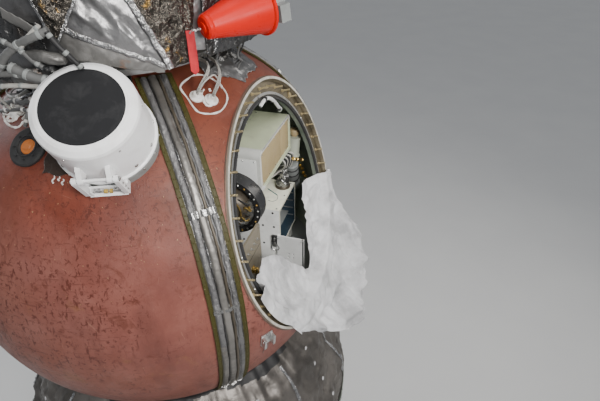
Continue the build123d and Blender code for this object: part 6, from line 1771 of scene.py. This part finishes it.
# ------------------------------------------------------------------ engine bay, seen from below and through the ring
b = Batch()
for z, r0 in ((0.600, 0.331), (0.545, 0.331)):
    b.revolve((0, 0, 0), (0, 0, 1), [(r0, z - .012), (r0 + .008, z - .010), (r0 + .008, z + .010), (r0, z + .012)], MATS["bare_alloy"], 72)
for k in range(24):
    a = math.radians(15 * k)
    b.bolt(Vector((0.318 * math.cos(a), 0.318 * math.sin(a), 0.494)), Vector((0.5 * math.cos(a), 0.5 * math.sin(a), -1)).normalized(), 0.006, X_STEEL, 0.006)
for z, r in ((0.388, 0.0965), (0.340, 0.1315), (0.292, 0.1620), (0.243, 0.1825), (0.197, 0.2040)):
    b.revolve((0, 0, 0), (0, 0, 1), [(r - .006, z - .004), (r, z - .004), (r, z + .003), (r - .008, z + .004)], MATS["nozzle_steel"], 64)
for k in range(4):
    a = math.radians(90 * k)
    c, t = Vector((math.cos(a), math.sin(a), 0)), Vector((-math.sin(a), math.cos(a), 0))
    o = c * 0.600
    for z, r in ((0.500, 0.0345), (0.470, 0.0465), (0.435, 0.0600)):
        b.revolve(o, (0, 0, 1), [(r - .004, z - .002), (r, z - .002), (r, z + .002), (r - .005, z + .003)], MATS["nozzle_steel"], 28)
    for j in range(6):
        q = o + Vector((0.050 * math.cos(j * 1.047), 0.050 * math.sin(j * 1.047), 0.6385))
        b.bolt(q, (0, 0, -1), 0.005, X_STEEL, 0.005)
    b.tube(spline([o + c * 0.044 + Vector((0, 0, 0.590)), o + c * 0.100 + Vector((0, 0, 0.585)), o + c * 0.150 + t * 0.080 + Vector((0, 0, 0.600)), o + c * 0.140 + t * 0.220 + Vector((0, 0, 0.612))], 8), 0.008, X_STEEL, 10)
    b.tube(spline([c * 0.330 + Vector((0, 0, 0.575)), c * 0.400 + Vector((0, 0, 0.560)), c * 0.480 + Vector((0, 0, 0.575)), c * 0.557 + Vector((0, 0, 0.590))], 8), 0.010, X_STEEL, 10)
b.emit("engine_pipes", slot="bare_alloy", sharp=40)
b = Batch()
lo_t, hi_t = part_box("aft_tanks")
for k in range(4):
    a = math.radians(45 + 90 * k)
    c, t = Vector((math.cos(a), math.sin(a), 0)), Vector((-math.sin(a), math.cos(a), 0))
    b.tube(spline([c * 0.500 + Vector((0, 0, 0.600)), c * 0.450 + Vector((0, 0, 0.570)), c * 0.400 + Vector((0, 0, 0.585)), c * 0.336 + Vector((0, 0, 0.600))], 8), 0.009, X_STEEL, 10)
    for j in range(10):
        az = 45 + 90 * k + (j - 4.5) * 8
        q = Vector((math.cos(math.radians(az)), math.sin(math.radians(az)), 0)) * 0.985 + Vector((0, 0, 0.6395))
        b.bolt(q, (0, 0, -1), 0.0055, X_STEEL, 0.005)
b.emit("aft_bay_fittings", slot="bare_alloy", sharp=40)

# ------------------------------------------------------------------ rod antennas: collars
for side, body in ((-1, "antenna_left"), (1, "antenna_right")):
    nodes = [n for n, o in NODES.items() if n.startswith("rod_antenna_" + ("left" if side < 0 else "right"))]
    lo_a, hi_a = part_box(nodes[0])
    x = (lo_a[0] + hi_a[0]) / 2
    b = Batch()
    for z, r in ((1.62, 0.0150), (1.20, 0.0125), (0.80, 0.0110)):
        b.revolve((side * 1.3, 0, z), (0, 0, 1), [(0.0055, -.010), (r, -.008), (r, .008), (0.0055, .010)], MATS["bare_alloy"], 20)
    b.emit("antenna_collars_" + ("left" if side < 0 else "right"), body=body, slot="bare_alloy", sharp=40)

# ------------------------------------------------------------------ tubes and sleeves on the battery module's left side, over the film
b = Batch()
for pts, r, m in (
        ([(-.800, -.015, 1.211), (-.795, -.060, 1.262), (-.784, -.120, 1.300), (-.779, -.183, 1.328), (-.752, -.240, 1.350)], .0150, X_WIRE_GREY),
        ([(-.798, -.061, 1.222), (-.792, -.095, 1.206), (-.785, -.140, 1.188), (-.770, -.190, 1.170)], .0180, X_WIRE_GREY),
        ([(-.763, -.240, 1.348), (-.757, -.268, 1.300), (-.744, -.296, 1.256), (-.728, -.318, 1.214)], .0095, X_BLACK),
        ([(-.797, -.064, 1.318), (-.795, -.100, 1.300), (-.788, -.130, 1.280), (-.786, -.160, 1.250), (-.776, -.190, 1.225)], .0090, X_WIRE_GREY),
        ([(-.790, -.128, 1.286), (-.785, -.150, 1.310), (-.779, -.180, 1.338), (-.765, -.220, 1.368)], .0075, X_WIRE_WHITE),
        ([(-.800, .040, 1.180), (-.802, -.010, 1.192), (-.796, -.080, 1.196), (-.782, -.140, 1.176), (-.768, -.200, 1.160)], .0120, X_WIRE_GREY),
        ([(-.800, .026, 1.140), (-.798, -.040, 1.150), (-.790, -.110, 1.152), (-.776, -.170, 1.150)], .0090, X_WIRE_WHITE)):
    line = spline([rel(*q) for q in pts], 9)
    b.tube(line, r, m, 12, rad=lambda t: 1 + 0.05 * math.sin(t * 150))
    for t in (0.12, 0.5, 0.86):
        i = max(1, min(len(line) - 2, int(t * len(line))))
        d = (line[i + 1] - line[i - 1]).normalized()
        b.revolve(line[i] - d * 0.008, d, [(r * 0.9, 0), (r * 1.16, 0.002), (r * 1.16, 0.014), (r * 0.9, 0.016)], MATS["grey_paint"], 14)
b.emit("side_tubes_left", slot="cable_jacket", sharp=60)
# a crumpled clear bag on the film under them
b = Batch()
base = len(b.v)
line = [rel(*p) for p in ((-.772, -.140, 1.262), (-.768, -.175, 1.262), (-.760, -.205, 1.256), (-.750, -.235, 1.250), (-.738, -.262, 1.244))]
b.tube(spline(line, 8), 0.026, X_PALE, 20, rad=lambda s: 0.45 + 0.65 * math.sin(math.pi * min(1, max(0, s * 0.9 + 0.05))) ** 0.6, flat=0.8)
for i in range(base, len(b.v)):
    p = Vector(b.v[i])
    b.v[i] = tuple(p + (p - line[2]) * 0.10 * crumple(p, 30, 2))
b.emit("clear_bag", slot="blanket", sharp=55)

# ------------------------------------------------------------------ top cover: film in gores, tapes, centre boss
def cover_z(r):
    return table(r, [(0, 5.8905), (0.54, 5.8705), (0.668, 5.8305)])


def top_film(u, v):
    az = u * 360
    ca, sa = math.cos(math.radians(az)), math.sin(math.radians(az))
    r = lerp(0.03, 0.672, v)
    p = (ca * r, sa * r, 5.9)
    gore = abs(math.sin(math.radians(az) * 6)) ** 0.5
    h = 0.0035 + 0.008 * gore * math.sin(math.pi * min(1, v * 0.95 + 0.02)) + 0.005 * abs(crumple(p, 9, 3))
    z = cover_z(min(0.668, r)) + h
    if v > 0.965:
        t = (v - 0.965) / 0.035
        z -= 0.030 * t
        r += 0.006 * math.sin(t * 3.1)
    return Vector((ca * r, sa * r, z))


skin("top_cover_film", top_film, 216, 36, MATS["blanket"], close=True, slot="blanket", solid=0.0, sharp=180)
b = Batch()
for k in range(12):
    az = 30 * k
    c = Vector((math.cos(math.radians(az)), math.sin(math.radians(az)), 0))
    t = Vector((-c.y, c.x, 0))
    b.sheet(lambda u, v: c * lerp(0.06, 0.668, v) + t * (u - 0.5) * 0.022 + Vector((0, 0, cover_z(lerp(0.06, 0.668, v)) + 0.0085 + 0.001 * math.sin(v * 60))), 3, 34, X_FOIL_BRIGHT)
for r in (0.300, 0.540):
    b.sheet(lambda u, v: Vector((math.cos(u * 6.2832), math.sin(u * 6.2832), 0)) * (r + (v - 0.5) * 0.022) + Vector((0, 0, cover_z(r) + 0.0105)), 200, 4, X_FOIL_BRIGHT, True)
b.revolve((0, 0, 5.888), (0, 0, 1), [(0, 0.020), (0.050, 0.020), (0.056, 0.016), (0.060, 0.002), (0.060, 0)], MATS["bare_alloy"], 48)
for k in range(8):
    a = math.radians(45 * k)
    b.bolt(Vector((0.042 * math.cos(a), 0.042 * math.sin(a), 5.908)), (0, 0, 1), 0.0040, X_STEEL, 0.0035)
b.emit("top_cover_tapes", slot="foil_wrap", sharp=60, solid=0.0)

# ------------------------------------------------------------------ closed hatches: bolts, edge seal, hand holds
for tag, az, el, r0 in (("rear_hatch", 90.0, 0.0, 0.600), ("parachute_hatch", 0.0, 12.0, 0.430)):
    n, ex, ey = axes(az, el)
    h0 = math.sqrt(R * R - r0 * r0)
    b = Batch()
    b.revolve(C, n, [(r0 - .003, h0 + .0008), (r0 - .003, h0 + .0045), (r0 + .006, h0 + .0045), (r0 + .006, h0 - .0030)], X_BLACK, 140)
    m = 36 if r0 > 0.5 else 28
    for k in range(m):
        a = 2 * math.pi * (k + 0.5) / m
        rr = r0 - 0.032
        q = C + n * (math.sqrt(R * R - rr * rr) + 0.0005) + ex * rr * math.cos(a) + ey * rr * math.sin(a)
        nn = (q - C).normalized()
        b.revolve(q - nn * 0.001, nn, [(0.0165, 0), (0.0165, 0.0022), (0.0120, 0.0026), (0.0120, 0.0010), (0, 0.0010)], MATS["bare_alloy"], 16)
        b.bolt(q, nn, 0.0062, X_STEEL, 0.0060)
    for s in (-1, 1):
        q0 = C + (n * math.sqrt(R * R - 0.1225) + ex * (s * 0.30) + ey * 0.18)
        q1 = C + (n * math.sqrt(R * R - 0.1225) + ex * (s * 0.30) - ey * 0.18)
        d0, d1 = (q0 - C).normalized(), (q1 - C).normalized()
        if r0 > 0.5:
            q0, q1 = C + d0 * (R + 0.0005), C + d1 * (R + 0.0005)
            b.tube(spline([q0, q0 + d0 * 0.030, q0.lerp(q1, 0.12) + (d0 + d1).normalized() * 0.046, q0.lerp(q1, 0.88) + (d0 + d1).normalized() * 0.046, q1 + d1 * 0.030, q1], 8), 0.0075, X_STEEL, 12)
            for q, d in ((q0, d0), (q1, d1)):
                b.revolve(q, d, [(0.022, -0.001), (0.022, 0.004), (0.012, 0.006), (0, 0.006)], MATS["bare_alloy"], 20)
    b.emit(tag + "_bolts", slot="bare_alloy", sharp=35)

# ------------------------------------------------------------------ battery module's base ring and the straps' top ring: nuts
b = Batch()
lo_s, hi_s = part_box("battery_base_ring")
for k in range(36):
    a = math.radians(10 * k + 5)
    b.bolt(Vector((0.640 * math.cos(a), 0.640 * math.sin(a), lo_s[2])), (0, 0, -1), 0.0068, X_STEEL, 0.0065)
lo_s, hi_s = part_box("strap_top_ring")
for k in range(24):
    a = math.radians(15 * k + 7)
    b.bolt(Vector((0.432 * math.cos(a), 0.432 * math.sin(a), hi_s[2])), (0, 0, 1), 0.0062, X_STEEL, 0.006)
b.emit("base_ring_bolts", slot="bare_alloy", sharp=35)

# ------------------------------------------------------------------ red cover: rim bead, moulded steps, screws; sensor housing trim
CA, CB = Vector((-.400, -.650, C.z + 1.300)), Vector((-.160, -.806, C.z + 1.341))
cax = (CB - CA).normalized()
clen = (CB - CA).length
b = Batch()
b.revolve(CA, cax, [(0.1165, clen - .0135), (0.1195, clen - .0125), (0.1200, clen - .0075), (0.1195, clen - .0020), (0.1165, clen - .0008)], MATS["red_plastic"], 72)
b.revolve(CA, cax, [(0.0495, .0190), (0.0512, .0205), (0.0512, .0245), (0.0502, .0265)], MATS["red_plastic"], 60)
b.revolve(CA, -cax, [(0, 0.0008), (0.022, 0.0008), (0.022, 0.0042), (0.018, 0.0052), (0, 0.0052)], MATS["red_plastic"], 40)
b.emit("cover_beads", slot="red_plastic", sharp=40)
b = Batch()
sx_, sy_ = cax.orthogonal().normalized(), cax.cross(cax.orthogonal().normalized())
for k in range(8):
    a = 2 * math.pi * k / 8 + 0.3
    d = sx_ * math.cos(a) + sy_ * math.sin(a)
    b.bolt(CA + cax * (clen + 0.020) + d * 0.0798, d, 0.0045, X_STEEL, 0.0035)
b.emit("sensor_housing_screws", slot="bare_alloy", sharp=40)

# ------------------------------------------------------------------ lifting lugs: bolts
b = Batch()
lo_l, hi_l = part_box("lifting_lugs")
for k in range(4):
    a = math.radians(45 + 90 * k)
    c, t = Vector((math.cos(a), math.sin(a), 0)), Vector((-math.sin(a), math.cos(a), 0))
    for s in (-1, 1):
        for j in (-1, 1):
            b.bolt(c * 0.600 + c * j * 0.022 + t * s * 0.034 + Vector((0, 0, 5.868)), (0, 0, 1), 0.0050, X_STEEL, 0.0050)
b.emit("lifting_lug_bolts", slot="bare_alloy", sharp=40)

# ------------------------------------------------------------------ floor and light
def stage_plane(name, size, z):
    me = bpy.data.meshes.new(name)
    me.from_pydata([(-size, -size, z), (size, -size, z), (size, size, z), (-size, size, z)], [], [(0, 1, 2, 3)])
    o = bpy.data.objects.new(name, me)
    k = Mat("pale_floor", rough=0.75, base=(0.68, 0.68, 0.67))
    k.set(base=k.ramp(k.noise(0.8, 3), [(0.3, (0.67, 0.67, 0.665)), (0.7, (0.70, 0.70, 0.69))]))
    me.materials.append(k.m)
    scene.collection.objects.link(o)
    return o


stage_plane("floor", 40.0, 0.0)
world = bpy.data.worlds.new("studio")
scene.world = world
world.use_nodes = True
bg = world.node_tree.nodes["Background"]
bg.inputs[0].default_value = (0.80, 0.84, 0.90, 1)
bg.inputs[1].default_value = 0.24


def area(name, loc, target, size, power, color=(1, 1, 1)):
    d = bpy.data.lights.new(name, "AREA")
    d.shape, d.size, d.energy, d.color = "DISK", size, power, color
    o = bpy.data.objects.new(name, d)
    scene.collection.objects.link(o)
    o.location = loc
    o.rotation_mode = "QUATERNION"
    o.rotation_quaternion = (Vector(target) - Vector(loc)).to_track_quat("-Z", "Y")
    return o


area("key", (-3.6, -3.4, 7.6), (0, 0, 4.2), 1.6, 235, (1.0, 0.97, 0.93))
area("front", (-1.9, -2.9, 5.6), (0.2, -0.6, 4.25), 0.5, 52, (1.0, 0.98, 0.96))
area("side", (4.5, -4.5, 6.5), (0, 0, 3.5), 3.5, 150, (1.0, 0.96, 0.90))
area("back", (1.0, 6.5, 6.5), (0, 0, 3.5), 4.0, 170, (0.95, 0.97, 1.0))
area("top", (-0.5, -0.5, 10.5), (0, 0, 4.0), 4.0, 85, (1.0, 0.98, 0.95))
sun = bpy.data.lights.new("sky", "SUN")
sun.energy, sun.angle, sun.color = 0.55, 1.6, (0.97, 0.98, 1.0)
sun_o = bpy.data.objects.new("sky", sun)
scene.collection.objects.link(sun_o)
lamp = bpy.data.lights.new("hatch", "SPOT")
lamp.energy, lamp.spot_size, lamp.spot_blend, lamp.shadow_soft_size, lamp.color = 60, math.radians(30), 0.7, 0.22, (1.0, 0.98, 0.95)
lamp_o = bpy.data.objects.new("hatch", lamp)
scene.collection.objects.link(lamp_o)
lamp_o.location = (0.35, -2.3, 6.15)
lamp_o.rotation_mode = "QUATERNION"
lamp_o.rotation_quaternion = (Vector((0.20, -0.62, 4.02)) - lamp_o.location).to_track_quat("-Z", "Y")
